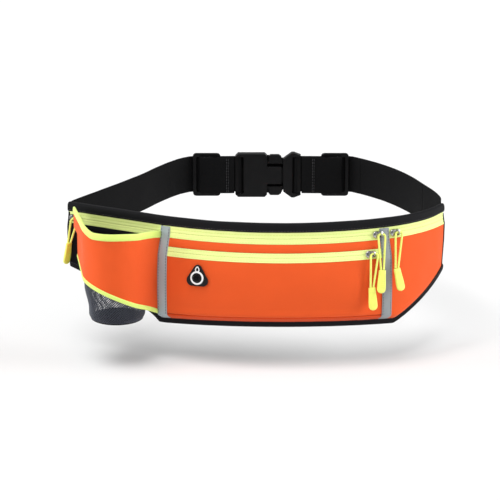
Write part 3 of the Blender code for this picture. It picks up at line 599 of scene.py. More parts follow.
def moulded(name, colour, roughness, grain_size=0.35, depth=0.015, **sockets):
    """Moulded plastic or rubber: a fine spark-eroded grain and faint handling marks."""
    look = Look(name, colour, roughness, **sockets)
    grain = look.noise(grain_size * MM, 2.0, look.space)
    marks = look.noise(9.0 * MM, 4.0, look.space)
    rough = (roughness - 0.08, roughness + 0.12)
    return look.surface(grain, marks, marks, (0.5, depth, 0.7), (0.7, 0.3, 0.82, 1.22), rough)


def die_cast(name, colour):
    """Plated die-cast metal: polished, with faint ripples and rubbed patches."""
    look = Look(name, colour, 0.16, 1.0)
    rubbed = look.noise(3.0 * MM, 5.0, look.space)
    look.bump(look.noise(1.8 * MM, 2.0, look.space), 0.04, 0.5)
    look.tint(look.add(-1.0, rubbed, 3.0, clamp=True), 0.4, 1.45)
    look.rough(rubbed, 0.1, 0.34)
    return look.material


ORANGE = neoprene("orange_neoprene", (0.80, 0.097, 0.015))
# a darker copy of the orange for the underside: painted shade where the cloth turns down, away from the light
ORANGE_PAINTED_SHADE = neoprene("orange_neoprene_painted_shade", (0.67, 0.062, 0.007))
LIME_TAPE = twill("lime_tape", (0.87, 1.0, 0.35))
LIME_FOLD = twill("lime_binding", (0.76, 0.95, 0.215), 0.6, 0.08)
LIME_TEETH = moulded("lime_coil", (0.84, 0.99, 0.3), 0.4)
BLACK_FOLD = grosgrain("black_binding", (0.0065, 0.0065, 0.0078))
LINING = twill("black_lining", (0.008, 0.008, 0.010), 0.7, 0.06, 0.8, 0.0, 0.08)
SPACER = air_mesh("black_air_mesh", (0.012, 0.012, 0.015))
WEBBING = webbing("black_webbing", (0.0052, 0.0052, 0.0056))
GREY_TAPE = {
    "right": reflective_cloth("grey_reflective", (0.29, 0.315, 0.33)),
    # the left tape is a lighter, bluer copy of the grey: painted light that cancels the shade and orange glow in the
    # valley beside the wrap
    "left": reflective_cloth("grey_reflective_painted_light_left", (0.36, 0.425, 0.45)),
}
NET = thread("black_net", (0.028, 0.034, 0.056), 0.42)
GREY_THREAD = thread("grey_thread", (0.10, 0.105, 0.125))
BLACK_THREAD = thread("black_thread", (0.02, 0.02, 0.024))
LIME_THREAD = thread("lime_thread", (0.7, 0.9, 0.16))
LIME_CORD = braid("lime_cord", (0.90, 0.97, 0.2))
LIME_GRIP = moulded("lime_grip", (0.83, 0.9, 0.15), 0.42, 0.5, 0.02, Subsurface_Weight=0.15)
RUBBER = moulded("black_rubber", (0.008, 0.008, 0.009), 0.45, 0.3, 0.02, Specular_IOR_Level=0.18)
WHITE = moulded("white_print", (0.84, 0.85, 0.86), 0.4, 0.4, 0.01)
METAL = die_cast("bright_metal", (0.52, 0.52, 0.51))
# a darker copy of the bright metal for the left slider: painted shade, as it sits in shadow behind the bottle pocket
METAL_PAINTED_SHADE = die_cast("metal_painted_shade", (0.13, 0.13, 0.13))
PLASTIC = moulded("black_acetal", (0.0055, 0.0055, 0.006), 0.42, 0.4, 0.03, Specular_IOR_Level=0.22)

# ---------------------------------------------------------------- mesh helpers


def finish_piece(obj, slot, replaces=None, body="pack"):
    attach(obj, body)
    if replaces:
        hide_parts(replaces)
    return obj


def link_object(name, mesh):
    obj = bpy.data.objects.new(name, mesh)
    bpy.context.scene.collection.objects.link(obj)
    return obj


def to_mesh(name, bm, materials, outward_faces=True):
    if outward_faces:
        bmesh.ops.recalc_face_normals(bm, faces=bm.faces)
    mesh = bpy.data.meshes.new(name)
    bm.to_mesh(mesh)
    bm.free()
    for material in materials:
        mesh.materials.append(material)
    return mesh


def from_bmesh(name, bm, materials, outward_faces=True):
    return link_object(name, to_mesh(name, bm, materials, outward_faces))


def modifier(obj, kind, **settings):
    made = obj.modifiers.new(kind.lower(), kind)
    for key, value in settings.items():
        setattr(made, key, value)
    return made


def flat_mesh():
    bm = bmesh.new()
    bm.loops.layers.uv.new("flat")
    return bm


def loft(bm, rows, flats=None, wrap=True, around=False, keep=None):
    """Smooth faces between rows of points in millimetres, with each point's place on the flat map.

    wrap joins the end of each row to its start, and around joins the last row to the first.
    """
    layer = bm.loops.layers.uv["flat"] if flats else None
    made = [[bm.verts.new(point * MM) for point in row] for row in rows]
    count = len(rows[0])
    for i in range(len(rows) if around else len(rows) - 1):
        one, other = made[i], made[(i + 1) % len(rows)]
        for j in range(count if wrap else count - 1):
            if keep and not keep(i, j):
                continue
            k = (j + 1) % count
            face = bm.faces.new((one[j], one[k], other[k], other[j]))
            face.smooth = True
            if flats:
                spots = (flats[i][j], flats[i][j + 1], flats[i + 1][j + 1], flats[i + 1][j])
                for loop, spot in zip(face.loops, spots):
                    loop[layer].uv = spot
    return made


def sheet(name, columns, flats, materials, thick, offset=-1.0, edge=0.4, keep=None, closed=False):
    """Cloth of that thickness from columns of points in millimetres."""
    bm = flat_mesh()
    loft(bm, columns, flats, wrap=False, around=closed, keep=keep)
    bmesh.ops.delete(bm, geom=[v for v in bm.verts if not v.link_faces], context="VERTS")
    obj = from_bmesh(name, bm, materials, outward_faces=False)
    made = modifier(obj, "SOLIDIFY", thickness=thick * MM, offset=offset, use_even_offset=True)
    made.material_offset = len(materials) - 1
    if edge:
        width = edge * thick * MM
        modifier(obj, "BEVEL", width=width, segments=2, limit_method="ANGLE", angle_limit=math.radians(50))
    return obj


def flat_of(columns):
    """Each point's place on the flat cloth, from the lengths along the rows and columns."""
    middle = len(columns[0]) // 2
    us = running([column[middle] for column in columns])
    return [[(u, v) for v in running(column)] for u, column in zip(us, columns)]


def panel(name, node, s_range, h_range, materials, relief, pitch, slot="orange", thick=PANEL_THICK, **options):
    """Cloth between two seams. relief says how far it stands proud at s and a height."""
    ss, hs = steps(*s_range, pitch[0]), steps(*h_range, pitch[1])
    columns = grid(ss, hs, lambda s, h: skin_out(s, h) + relief(s, h))
    return finish_piece(sheet(name, columns, flat_at(ss, hs), materials, thick, **options), slot, node)


def sweep(name, sections, lengths, material, closed=False):
    """A tube through closed sections of points in millimetres. lengths gives how far along each section is."""
    bm = flat_mesh()
    flats = [[(u, v) for v in running([*ring, ring[0]])] for u, ring in zip(lengths, [*sections, sections[0]])]
    made = loft(bm, sections, flats, around=closed)
    if not closed:
        for section in (made[0], made[-1]):
            bm.faces.new(section)
    return from_bmesh(name, bm, [material])


def tube(name, route, radius, sides, material, closed=False):
    """A round tube along a route of points in millimetres, its frame carried along without twisting."""
    sections = []
    normal = None
    for n, point in enumerate(route):
        before = route[n - 1] if n or closed else point
        after = route[(n + 1) % len(route)] if n < len(route) - 1 or closed else point
        tangent = (after - before).normalized()
        if normal is None:
            normal = tangent.orthogonal()
        normal = (normal - tangent * normal.dot(tangent)).normalized()
        side = tangent.cross(normal)
        sections.append([point + radius * (x * normal + y * side) for x, y in spin(sides)])
    return sweep(name, sections, running([*route, route[0]]), material, closed)


CAPSULE = ((-1.0, 0.4), (-0.72, 0.85), (0.72, 0.85), (1.0, 0.4))


def beads(name, spots, material, sides=6):
    """Small rounded bars, one for each (middle, half along, half across, half thick) spot, as one piece."""
    bm = flat_mesh()
    ring = spin(sides)
    for middle, along, across, thick in spots:
        rings = [[middle + along * share + size * (across * x + thick * y) for x, y in ring] for share, size in CAPSULE]
        length = along.length * 2
        flats = [[(length * a / 3, b * 0.3) for b in range(sides + 1)] for a in range(len(CAPSULE))]
        made = loft(bm, rings, flats)
        for end in (made[0][::-1], made[-1]):
            bm.faces.new(end).smooth = True
    return from_bmesh(name, bm, [material])


def stitch_row(points, normals, pitch=2.8, width=0.28, share=0.72, sink=0.05):
    """Stitches along a line on a surface, as spots for beads."""
    spots = []
    lengths = running(points)
    count = max(1, int(lengths[-1] / pitch))
    step = lengths[-1] / count
    seg = 0
    for n in range(count):
        at = (n + 0.5) * step
        while seg < len(points) - 2 and lengths[seg + 1] < at:
            seg += 1
        t = (at - lengths[seg]) / max(lengths[seg + 1] - lengths[seg], 1e-9)
        middle = points[seg].lerp(points[seg + 1], t)
        normal = normals[seg].lerp(normals[seg + 1], t).normalized()
        tangent = (points[seg + 1] - points[seg]).normalized()
        across = tangent.cross(normal).normalized()
        spots.append((middle - normal * sink, tangent * step * share / 2, across * width, normal * width * 0.8))
    return spots


def seam_along(at, low, high, **options):
    """Stitches on a surface. at gives a point for a place along the seam and a small step sideways."""
    points = []
    normals = []
    for t in steps(low, high, 2.5):
        points.append(at(t, 0.0))
        along = at(t + 0.2, 0.0) - at(t - 0.2, 0.0)
        normals.append(along.cross(at(t, 0.2) - at(t, -0.2)).normalized())
    return stitch_row(points, normals, **options)


# ---------------------------------------------------------------- panels


def front_relief(s, h):
    """Soft fullness between the seams, a pucker beside the front pull, and the dimple round the port."""
    fade = inside(s, BODY[0] + 8, BODY[1] - 4, 16) * inside(h, PANEL_FOOT, STRAIGHT_ABOVE, 8)
    soft = 0.95 * wobble(s, 1.5 * h, 48, 3.1) + 0.4 * wobble(s, 1.3 * h, 17, 7.7)
    pucker = -1.1 * bell(s - 305.5 - 0.1 * h, 3.2) * inside(h, -36, 12, 14)
    seam = -0.5 * bell(h - SEAM, 1.2)
    pull = 0.35 * wobble(s, 3.0, 7.0, 1.3) * bell(h - STRAIGHT_ABOVE, 5.0)
    flat = smooth((math.hypot(s - PORT_S, h - PORT_Z) - 9.0) / 9.0)
    return fade * soft * flat + pucker + seam + pull * flat * inside(h, PANEL_FOOT, STRAIGHT_ABOVE, 1.5)


def mid_relief(s, h):
    return (0.55 + 0.2 * wobble(s, h, 12, 5.5)) * inside(h, BAND_LOW[0] + 0.3, BAND_HIGH[1] - 0.3, 3.0)


def gusset_relief(s, h):
    return 0.3 * inside(h, SKIN_FOOT, SEAM, 2.5) + 0.25 * wobble(s, h, 14, 2.9) - 0.35 * bell(h - SEAM, 0.9)


def right_relief(s, h):
    fade = inside(s, RIGHT_STRIP + 5, RIGHT_WING[1], 14) * inside(h, SKIN_FOOT, BAND_HIGH[1], 9)
    fold = 0.6 * wobble(1.6 * s, 0.7 * h + 0.5 * s, 24, 9.2) + 0.7 * wobble(s, h, 44, 2.4)
    hem = 0.3 * wobble(s, 0.0, 6.0, 4.4) * bell(h - BAND_HIGH[1], 4.0)
    return fade * fold + hem * inside(h, SKIN_FOOT, BAND_HIGH[1], 1.5)


def left_relief(s, h):
    fade = inside(s, END_TRIM, LEFT_WING_TO, 20) * inside(h, SKIN_FOOT, SKIN_TOP, 14)
    return -0.8 * fade * (0.6 + wobble(s, h, 30, 8.1))


def back_relief(s, h):
    """How far the padded back stands from its inner face, its top tucked under the rim."""
    high = BAND_HIGH[0]
    crown = inside(s, END_TRIM, RIGHT_WING[1], 16) * inside(min(h, high), SKIN_FOOT, high, 12)
    return 0.5 * smooth((h - high) / 1.5) - (1.3 + 0.5 * wobble(s, h, 22, 6.6)) * crown


def off_port(n, m, pitch=1.6):
    """Whether the front keeps its nth cell along and mth down, so that the port's hole stays open."""
    s = steps(*BODY, pitch)[n] + pitch / 2
    h = steps(STRAIGHT_ABOVE, SEAM, pitch)[m] - pitch / 2
    return math.hypot(s - PORT_S, h - PORT_Z) > PORT_HOLE + 1.2


def panels():
    both = [ORANGE, LINING]
    face = (STRAIGHT_ABOVE, SEAM)
    front = panel("front_face", "front_panel", BODY, face, both, front_relief, (1.6, 1.6), keep=off_port)
    panel("band_between_zips", "mid_strip", BODY, (SKIN_TOP, 25.4), [ORANGE], mid_relief, (2.2, 1.0))
    # the underside wears the darker copy of the orange, painted shade
    panel("underside", "bottom_gusset", BODY, (SEAM - 0.1, SKIN_FOOT), [ORANGE_PAINTED_SHADE], gusset_relief, (2.5, 0.7))
    whole = (SKIN_TOP, SKIN_FOOT)
    wing = panel("right_wing_face", "right_wing_panel", RIGHT_WING, whole, both, right_relief, (2.0, 2.0))
    left = (END_TRIM, LEFT_WING_TO)
    panel("left_wing_face", "left_wing_panel", left, whole, [LINING], left_relief, (3.0, 3.0), "black_cloth")
    ss, hs = steps(END_TRIM, RIGHT_WING[1], 3.0), steps(BINDING_FOOT + 2.2, SKIN_FOOT, 3.0)
    pad = sheet("back_pad", grid(ss, hs, back_relief), flat_at(ss, hs), [SPACER], BACK_THICK, offset=1.0)
    finish_piece(pad, "black_cloth", "back_panel")


def lining():
    """The wall between the two compartments, and the main compartment's two ends."""

    def divider_out(s, h):
        return min(9.5, body_out(s, h) - 2.1) - 0.4 * (0.5 + 0.5 * wobble(s, h, 25, 1.9))

    columns = grid(steps(BODY[0] + 2.0, BODY[1] - 5.0, 4.0), steps(32.0, -45.0, 4.0), divider_out)
    divider = sheet("inner_divider", columns, flat_of(columns), [LINING], 0.6)
    finish_piece(divider, "black_cloth", "pocket_divider")
    inner = BACK_THICK + 0.3
    for side, s in (("left", BODY[0] + 0.7), ("right", BODY[1] - 0.7)):
        columns = []
        for share in steps(0.0, 1.0, 0.25):
            bowed = s + 0.25 * math.sin(math.pi * share)
            columns.append([])
            for h in steps(43.2, -44.0, 3.0):
                out = inner + share * (body_out(s, h) - PANEL_THICK - 0.3 - inner)
                columns[-1].append(place(bowed, out, height_at(s, h)))
        wall = sheet(f"{side}_end_lining", columns, flat_of(columns), [LINING], 0.6, 0.0)
        finish_piece(wall, "black_cloth", f"{side}_end_wall")


def reflective(side, s_middle):
    """A tape sewn down both edges over the seam between two panels."""
    half = STRIP_WIDTH / 2

    def out(s, h):
        across = abs(s - s_middle) / half
        crown = 0.25 * (1 - across**2) - 0.15 * bell(across - STRIP_SEAM, 0.1)
        return body_out(s, h) - taper(s) * RIGHT_TAPER + 0.8 + crown + 0.12 * wobble(s, h, 9, 3.3)

    ss, hs = steps(s_middle - half, s_middle + half, 1.0), steps(44.6, -46.6, 1.5)
    # the left tape takes its lighter copy of the grey, painted light
    tape = sheet(f"reflective_tape_{side}", grid(ss, hs, out), flat_at(ss, hs), [GREY_TAPE[side]], 0.6, edge=0.45)
    finish_piece(tape, "reflective", f"reflective_strip_{side}")
    spots = []
    for edge in (-STRIP_SEAM, STRIP_SEAM):

        def at(h, step, s=s_middle + half * edge):
            return place(s + step, out(s + step, h), height_at(s + step, h))

        spots += seam_along(at, 42.8, -40.0, pitch=2.9, width=0.42)
    finish_piece(beads(f"reflective_stitching_{side}", spots, GREY_THREAD), "reflective")


# ---------------------------------------------------------------- bindings


def rounded_section(low, high, depth, bulge, corner, foot=0.5):
    """A folded binding's section as (out, up) pairs: from its front foot, over the fold, to its back foot."""
    tall = high - low
    top = high - corner
    points = []
    for share in (n / 6 for n in range(7)):
        out = depth - foot * (1 - smooth(share * 5)) + bulge * math.sin(math.pi * share) ** 0.7
        points.append((out, low + share * (tall - corner)))
    arc = [polar(math.pi / 2 * n / 6) * corner for n in range(1, 7)]
    points += [(depth - corner + x, top + y) for x, y in arc]
    points += [(corner - y, top + x) for x, y in arc]
    return points + [(0.0, top - (tall - corner) * n / 5) for n in range(1, 6)]


def rim_section(s):
    deep = skin_out(s, BAND_HIGH[0]) + 0.75
    bulge = 0.35 + 0.18 * wobble(s, 0, 7.0, 2.2)
    rim = RIM + 0.25 * wobble(s, 0, 30.0, 5.1)
    low = BINDING_FOOT + 0.7 * smooth((s - 380.0) / 30.0)
    return rounded_section(low, rim, deep, bulge, min(2.6, deep / 2 - 0.1))


def foot_section(s):
    low, high = height_at(s, BOTTOM) + 0.8, height_at(s, SKIN_FOOT) + 1.7
    bulge = 0.3 + 0.15 * wobble(s, 0, 6.0, 8.2)
    return [(out, -z) for out, z in rounded_section(-high, -low, FRONT_OUT[0] + 0.9, bulge, 2.2)]


def long_binding(name, node, section, seam_at):
    """A binding along the whole pack, sewn near its foot."""
    ss = steps(0.0, BACK_LENGTH, 2.0)
    sections = [[place(s, out, z) for out, z in section(s)] for s in ss]
    finish_piece(sweep(f"{name}_binding", sections, ss, BLACK_FOLD), "black_cloth", node)
    spots = seam_along(lambda s, step: place(s, *seam_at(s, step)), 1.5, BACK_LENGTH - 1.5, pitch=3.0)
    finish_piece(beads(f"{name}_stitching", spots, BLACK_THREAD), "black_cloth")


def end_binding(side, first, last):
    hs = steps(BAND_HIGH[0] + 0.5, SKIN_FOOT + 0.2, 2.5)
    at = END_TRIM if side == "left" else BACK_LENGTH
    sections = []
    for h in hs:
        deep = skin_out(at, h) + 0.5
        corner = min(1.6, deep / 2 - 0.1)
        section = []
        for right, front, start in ((1, 1, 0), (0, 1, 90), (0, 0, 180), (1, 0, 270)):
            for n in range(4):
                x, y = polar(math.radians(start + 30 * n)) * corner
                s = (last - corner * 0.6 if right else first + corner * 0.6) + 0.6 * x
                section.append(place(s, (deep - corner if front else corner) + y, height_at(at, h)))
        sections.append(section)
    finish_piece(sweep(f"{side}_end_fold", sections, hs, BLACK_FOLD), "black_cloth", f"{side}_end_binding")


def bindings():
    def rim_seam(s, step):
        return skin_out(s, BAND_HIGH[0]) + 1.05, BINDING_FOOT + 1.9 + step

    def foot_seam(s, step):
        return FRONT_OUT[0] + 1.1, height_at(s, SKIN_FOOT) + 0.3 + step

    long_binding("rim", "top_binding", rim_section, rim_seam)
    long_binding("foot", "bottom_binding", foot_section, foot_seam)
    end_binding("left", 0.0, 2 * END_TRIM)
    end_binding("right", BACK_LENGTH - 2 * END_TRIM, BACK_LENGTH)


# ---------------------------------------------------------------- bottle pocket


def wrap_grid(high, low, rows, bulge=None):
    """Columns of points on the wrap between two edges, each a height for an x."""
    columns = []
    flat = wrap_route(0.0)
    for n, spot in enumerate(flat):
        columns.append([])
        for m, z in enumerate(np.linspace(high(spot.x), low(spot.x), rows).tolist()):
            route = wrap_route(z)
            more = bulge(n / (len(flat) - 1), m / (rows - 1), spot.x, z) if bulge else 0.0
            columns[-1].append(route[n].to_3d() + sideways(route, n) * more + Vector((0, 0, z)))
    return columns


def folded_edge(name, edge, wide, up, node, thick=1.9):
    """A binding folded over an edge of the wrap. up is +1 when the fold is at the top."""
    columns = wrap_grid(edge, lambda x: edge(x) - up * wide, 2)
    tops = [top for top, foot in columns]
    half = thick / 2
    sections = []
    for n, (top, foot) in enumerate(columns):
        away = sideways(tops, n)
        down = foot - top
        length = down.length - half
        down.normalize()
        front = 0.35 + 0.1 * wobble(n * 3.0, 0, 6.0, 1.1)
        section = []
        for t in (m / 5 for m in range(6)):
            out = front + 0.25 * math.sin(math.pi * t)
            section.append(foot + down * 0.3 - down * t * length + away * out)
        for m in range(1, 6):
            x, y = polar(math.pi * m / 6) * half
            section.append(top + down * (half - y) + away * (0.35 - half + x))
        section += [top + down * (half + m / 4 * length) + away * (0.35 - thick) for m in range(5)]
        sections.append(section)
    finish_piece(sweep(name, sections, running(tops), LIME_FOLD), "lime", node)
    points = [foot.lerp(top, 0.24) for top, foot in columns]
    normals = []
    for n in range(len(points)):
        normals.append(sideways(points, n))
        points[n] = points[n] + normals[n] * 0.58
    finish_piece(beads(f"{name}_stitching", stitch_row(points, normals), LIME_THREAD), "lime")


def wrap_bulge(along, down, x, z):
    fade = inside(along, 0.0, 1.0, 0.12) * inside(down, 0.0, 1.0, 0.2)
    pull = 0.12 * wobble(x, 0, 5.0, 2.8) * bell(down, 0.12)
    return fade * (0.8 * wobble(x, z, 26, 4.2) + 0.35 * wobble(x, z, 11, 6.1)) + pull


def bottle_wrap():
    columns = wrap_grid(lambda x: wrap_top(x) - 2.0, lambda x: wrap_foot(x) + 1.5, 34, wrap_bulge)
    wrap = sheet("pocket_face", columns, flat_of(columns), [ORANGE, LINING], PANEL_THICK)
    finish_piece(wrap, "orange", "pocket_wrap")
    folded_edge("pocket_rim", wrap_top, WRAP_BAND, 1, "pocket_top_binding", 2.4)
    folded_edge("pocket_foot", wrap_foot, WRAP_FOOT_BAND, -1, "pocket_bottom_binding")


def cup_point(away, z, inset=0.0):
    """A point of the cup's wall, which narrows towards its foot on the side away from the strip."""
    narrow = (CUP_RADIUS - CUP_FOOT_RADIUS) * smooth((-12.0 - z) / 24.0)
    flat = BOTTLE_CENTRE + Vector((0.8 * narrow, 0)) + (CUP_RADIUS - narrow - inset) * away
    return Vector((flat.x, flat.y, z))


def net_point(turn, share):
    """A point of the net: a share of a turn round the cup, and of the cloth from its rim to its floor."""
    away = polar(2 * math.pi * turn)
    top = wrap_foot(BOTTLE_CENTRE.x + CUP_RADIUS * away.x) + WRAP_FOOT_BAND + 2.0
    straight = top - (CUP_FLOOR + CUP_CORNER)
    bend = CUP_CORNER * math.pi / 2
    length = share * (straight + bend + CUP_FOOT_RADIUS - CUP_CORNER - 1.5)
    slack = 0.5 * wobble(32 * away.y, 32 * away.x + 3 * share, 9, 2.9) * inside(share, 0.0, 0.75, 0.2)
    if length < straight:
        return cup_point(away, top - length, -slack)
    if length < straight + bend:
        x, y = polar((length - straight) / CUP_CORNER)
        return cup_point(away, CUP_FLOOR + CUP_CORNER * (1 - y), CUP_CORNER * (1 - x) - slack * x)
    return cup_point(away, CUP_FLOOR, CUP_CORNER + length - straight - bend)


def mesh_cup():
    """An open net on the diagonal, gathered into a cup with a sewn floor seam."""
    cell = 2 * math.pi * CUP_RADIUS / CUP_CELLS
    bm = flat_mesh()
    layer = bm.loops.layers.uv["flat"]
    made = {}

    def vert(i, j):
        key = (i % (2 * CUP_CELLS), j)
        if key not in made:
            made[key] = bm.verts.new(net_point(key[0] / 2 / CUP_CELLS, j / 2 / CUP_ROWS) * MM)
        return made[key]

    for j in range(2 * CUP_ROWS):
        for i in range(j % 2, 2 * CUP_CELLS, 2):
            corners = [(i, j - 1), (i - 1, j), (i, j + 1), (i + 1, j)][0 if j else 1 :]
            face = bm.faces.new([vert(*corner) for corner in corners])
            face.smooth = True
            for loop, (a, b) in zip(face.loops, corners):
                loop[layer].uv = (a * cell / 2, b * cell / 2)
    net = from_bmesh("bottle_net", bm, [NET])
    modifier(net, "WIREFRAME", thickness=0.9 * MM, use_even_offset=False, use_boundary=True)
    finish_piece(net, "mesh", "mesh_cup")
    route = [cup_point(away, CUP_FLOOR + 1.6, 2.3) for away in spin(96)]
    finish_piece(tube("net_floor_seam", route, 0.85, 8, BLACK_FOLD, closed=True), "mesh")
    floor = []
    insets = (2.2, 5.5, 10.0, 16.0, 22.0, CUP_FOOT_RADIUS - 0.05)
    for away in spin(64):
        floor.append([cup_point(away, CUP_FLOOR, inset) for inset in insets])
        for n, spot in enumerate(floor[-1]):
            spot.z += (0.3 if n else 1.5) + 0.15 * wobble(spot.x, spot.y, 7, 3.0)
    flats = [[(p.x, p.y) for p in column] for column in (*floor, floor[0])]
    finish_piece(sheet("net_floor", floor, flats, [LINING], 0.8, closed=True, edge=0), "mesh")


# ---------------------------------------------------------------- earphone port


def hull(points):
    """The convex outline round a set of points, anticlockwise."""
    ordered = sorted(points, key=lambda p: (p.x, p.y))
    outline = []
    for run in (ordered, ordered[::-1]):
        half = []
        for p in run:
            while len(half) > 1 and (half[-1] - half[-2]).cross(p - half[-2]) <= 0:
                half.pop()
            half.append(p)
        outline += half[:-1]
    return outline


def ray_to(outline, ray):
    """How far a closed convex outline lies from the origin in a direction."""
    best = 0.0
    for one, other in zip(outline, [*outline[1:], outline[0]]):
        along = other - one
        turn = ray.cross(along)
        if abs(turn) < 1e-9:
            continue
        if one.cross(along) / turn > 0 and -1e-6 <= one.cross(ray) / turn <= 1 + 1e-6:
            best = max(best, one.cross(along) / turn)
    return best


def facing(ray, radius, lift):
    """A point in front of a flat piece that faces the viewer."""
    return Vector((radius * ray.x, -lift, radius * ray.y))


PATCH_CORNERS = ((-5.5, -2.8, 5.6), (5.5, -2.8, 5.6), (0.0, 8.9, 4.2))
PATCH_EDGE = ((1.0, 0.0), (1.0, 0.7), (0.975, 1.2), (0.945, 1.45), (0.91, 1.58))
PATCH_COLLAR = ((7.4, 1.62), (7.0, 1.66), (6.6, 1.85), (4.8, 2.15), (3.7, 2.3), (3.2, 2.1), (3.0, 1.6), (3.0, 0.0))
RING_PROFILE = ((6.8, 1.7), (6.75, 2.25), (6.45, 2.45), (5.35, 2.62), (5.1, 2.5), (5.0, 2.0))


def port():
    """A moulded patch with a collar round its hole, a white ring and drop printed on it, and a slit membrane."""
    matrix = Matrix.Translation(skin_point(PORT_S, PORT_Z, 0.6) * MM) @ Matrix.Rotation(heading(PORT_S), 4, "Z")
    matrix = matrix @ Matrix.Rotation(PORT_TILT, 4, "X")

    def fit(obj, slot, node=None):
        obj.matrix_world = matrix
        finish_piece(obj, slot, node)

    outline = hull([Vector((x, z)) + radius * ray for x, z, radius in PATCH_CORNERS for ray in spin(40)])
    columns = []
    for ray in spin(96):
        radius = ray_to(outline, ray)
        columns.append([facing(ray, radius * share, lift) for share, lift in PATCH_EDGE])
        columns[-1] += [facing(ray, r, lift) for r, lift in PATCH_COLLAR]
    bm = bmesh.new()
    made = loft(bm, columns, wrap=False, around=True)
    for one, other in zip(made, [*made[1:], made[0]]):
        bm.faces.new((one[0], other[0], other[-1], one[-1]))
    fit(from_bmesh("port_moulding", bm, [RUBBER]), "rubber", "port_patch")

    bm = flat_mesh()
    columns = [[facing(ray, r, lift) for r, lift in RING_PROFILE] for ray in spin(48)]
    loft(bm, columns, [[(a * 0.6, b * 0.6) for b in range(len(RING_PROFILE) + 1)] for a in range(49)], around=True)
    fit(from_bmesh("port_mark_ring", bm, [WHITE]), "white", "port_ring")
    route = [Vector((1.75 * (1 - 0.28 * y) * x, -1.8, 8.6 + 2.4 * y)) for x, y in spin(28)]
    fit(tube("port_mark_drop", route, 0.55, 8, WHITE, closed=True), "white")

    bm = bmesh.new()
    for k in range(4):
        tip = bm.verts.new(facing(polar(math.pi / 2 * (k + 0.5)), 0.2, 0.55) * MM)
        arc = [facing(polar(math.pi / 2 * (k + 0.04 + 0.92 * n / 6)), 3.05, 1.15) for n in range(7)]
        arc = [bm.verts.new(spot * MM) for spot in arc]
        for one, other in zip(arc, arc[1:]):
            bm.faces.new((tip, one, other)).smooth = True
    membrane = from_bmesh("port_membrane", bm, [RUBBER], outward_faces=False)
    modifier(membrane, "SOLIDIFY", thickness=0.4 * MM)
    fit(membrane, "rubber")


# ---------------------------------------------------------------- zips


def zip_tapes(name):
    """Two tapes with a rolled edge beside the coil, their stitches, and the coil between them."""
    high, low = BAND_LOW if name == "front" else BAND_HIGH
    middle = (high + low) / 2
    span = ZIP_SPANS[name]

    def relief(s, h):
        off = abs(h - middle)
        return 0.22 * bell(off - 1.5, 1.0) + 0.35 * smooth(off - 2.8) + 0.1 * wobble(s, h, 8, 1.7)

    above = 0.3 if name == "front" else 2.4
    for part, top, foot, edge in (
        ("upper", high + above, middle + TAPE_GAP, high - 1.1),
        ("lower", middle - TAPE_GAP, low - 0.3, low + 1.1),
    ):
        title = f"{name}_tape_{part}"
        look = ([LIME_TAPE], relief, (2.2, 0.55), "lime", 0.9)
        panel(title, f"{name}_zip_tape_{part}", span, (top, foot), *look, edge=0.42)

        def at(s, step, edge=edge):
            return skin_point(s, edge + step, relief(s, edge + step))

        spots = seam_along(at, span[0] + 1, span[1] - 1, pitch=2.9, width=0.24)
        finish_piece(beads(f"{title}_stitching", spots, LIME_THREAD), "lime")
    spots = []
    for n in range(int((span[1] - span[0] - 3.0) / TOOTH_PITCH)):
        s = span[0] + 1.5 + TOOTH_PITCH * (n + 0.5)
        h = middle + (0.55 if n % 2 else -0.55)
        here = skin_point(s, h, -0.45)
        up = (skin_point(s, h + 1, -0.45) - here).normalized()
        along = (skin_point(s + 0.5, h) - skin_point(s - 0.5, h)).normalized()
        spots.append((here, up * 1.25, along * 0.5, along.cross(up).normalized() * 0.5))
    finish_piece(beads(f"{name}_coil", spots, LIME_TEETH), "lime", f"{name}_zip_chain")


def add_slab(bm, outline, low, high, inset, dome=0.0):
    """Adds a rounded plate, its outline in X and Z and its faces at -low and -high along Y."""
    edge = ((1.0, low), (1.0, high - inset), (1.0 - inset * 0.13, high - inset * 0.35), (1.0 - inset * 0.3, high))
    made = loft(bm, [[facing(spot, share, lift) for spot in outline] for share, lift in (*edge, (0.5, high + dome))])
    bm.faces.new(made[-1]).smooth = True
    bm.faces.new(made[0][::-1])


def slider_mesh():
    """A waisted plate with flared shoulders, a rear plate, and a round loop for the cord."""
    outline = []
    for x, y in spin(40):
        x, y = 5.6 * squared(x, 0.75), 3.7 * squared(y, 0.7)
        outline.append(Vector((x, y * (1 - 0.2 * bell(x - 0.6, 2.0)) * (1 - 0.16 * smooth((-x - 2.5) / 3.0)))))
    post = [Vector(corner) for corner in ((1.0, -1.2), (1.0, 1.2), (-1.0, 0.8), (-1.0, -0.8))]
    bm = bmesh.new()
    add_slab(bm, outline, 0.95, 2.3, 0.55, 0.12)
    add_slab(bm, outline, -1.3, -0.5, 0.2)
    add_slab(bm, post, -1.2, 1.3, 0.1)
    bmesh.ops.recalc_face_normals(bm, faces=bm.faces)
    turns = [polar(math.pi * n / 14) for n in range(15)]
    route = [Vector((EYE_X, -2.0 - 3.1 * max(y, 0.0) ** 0.8, 2.35 * x)) for x, y in turns]
    loop = tube("slider_loop", route, 0.72, 10, METAL)
    bm.from_mesh(loop.data)
    bpy.data.objects.remove(loop)
    return to_mesh("slider", bm, [METAL], outward_faces=False)


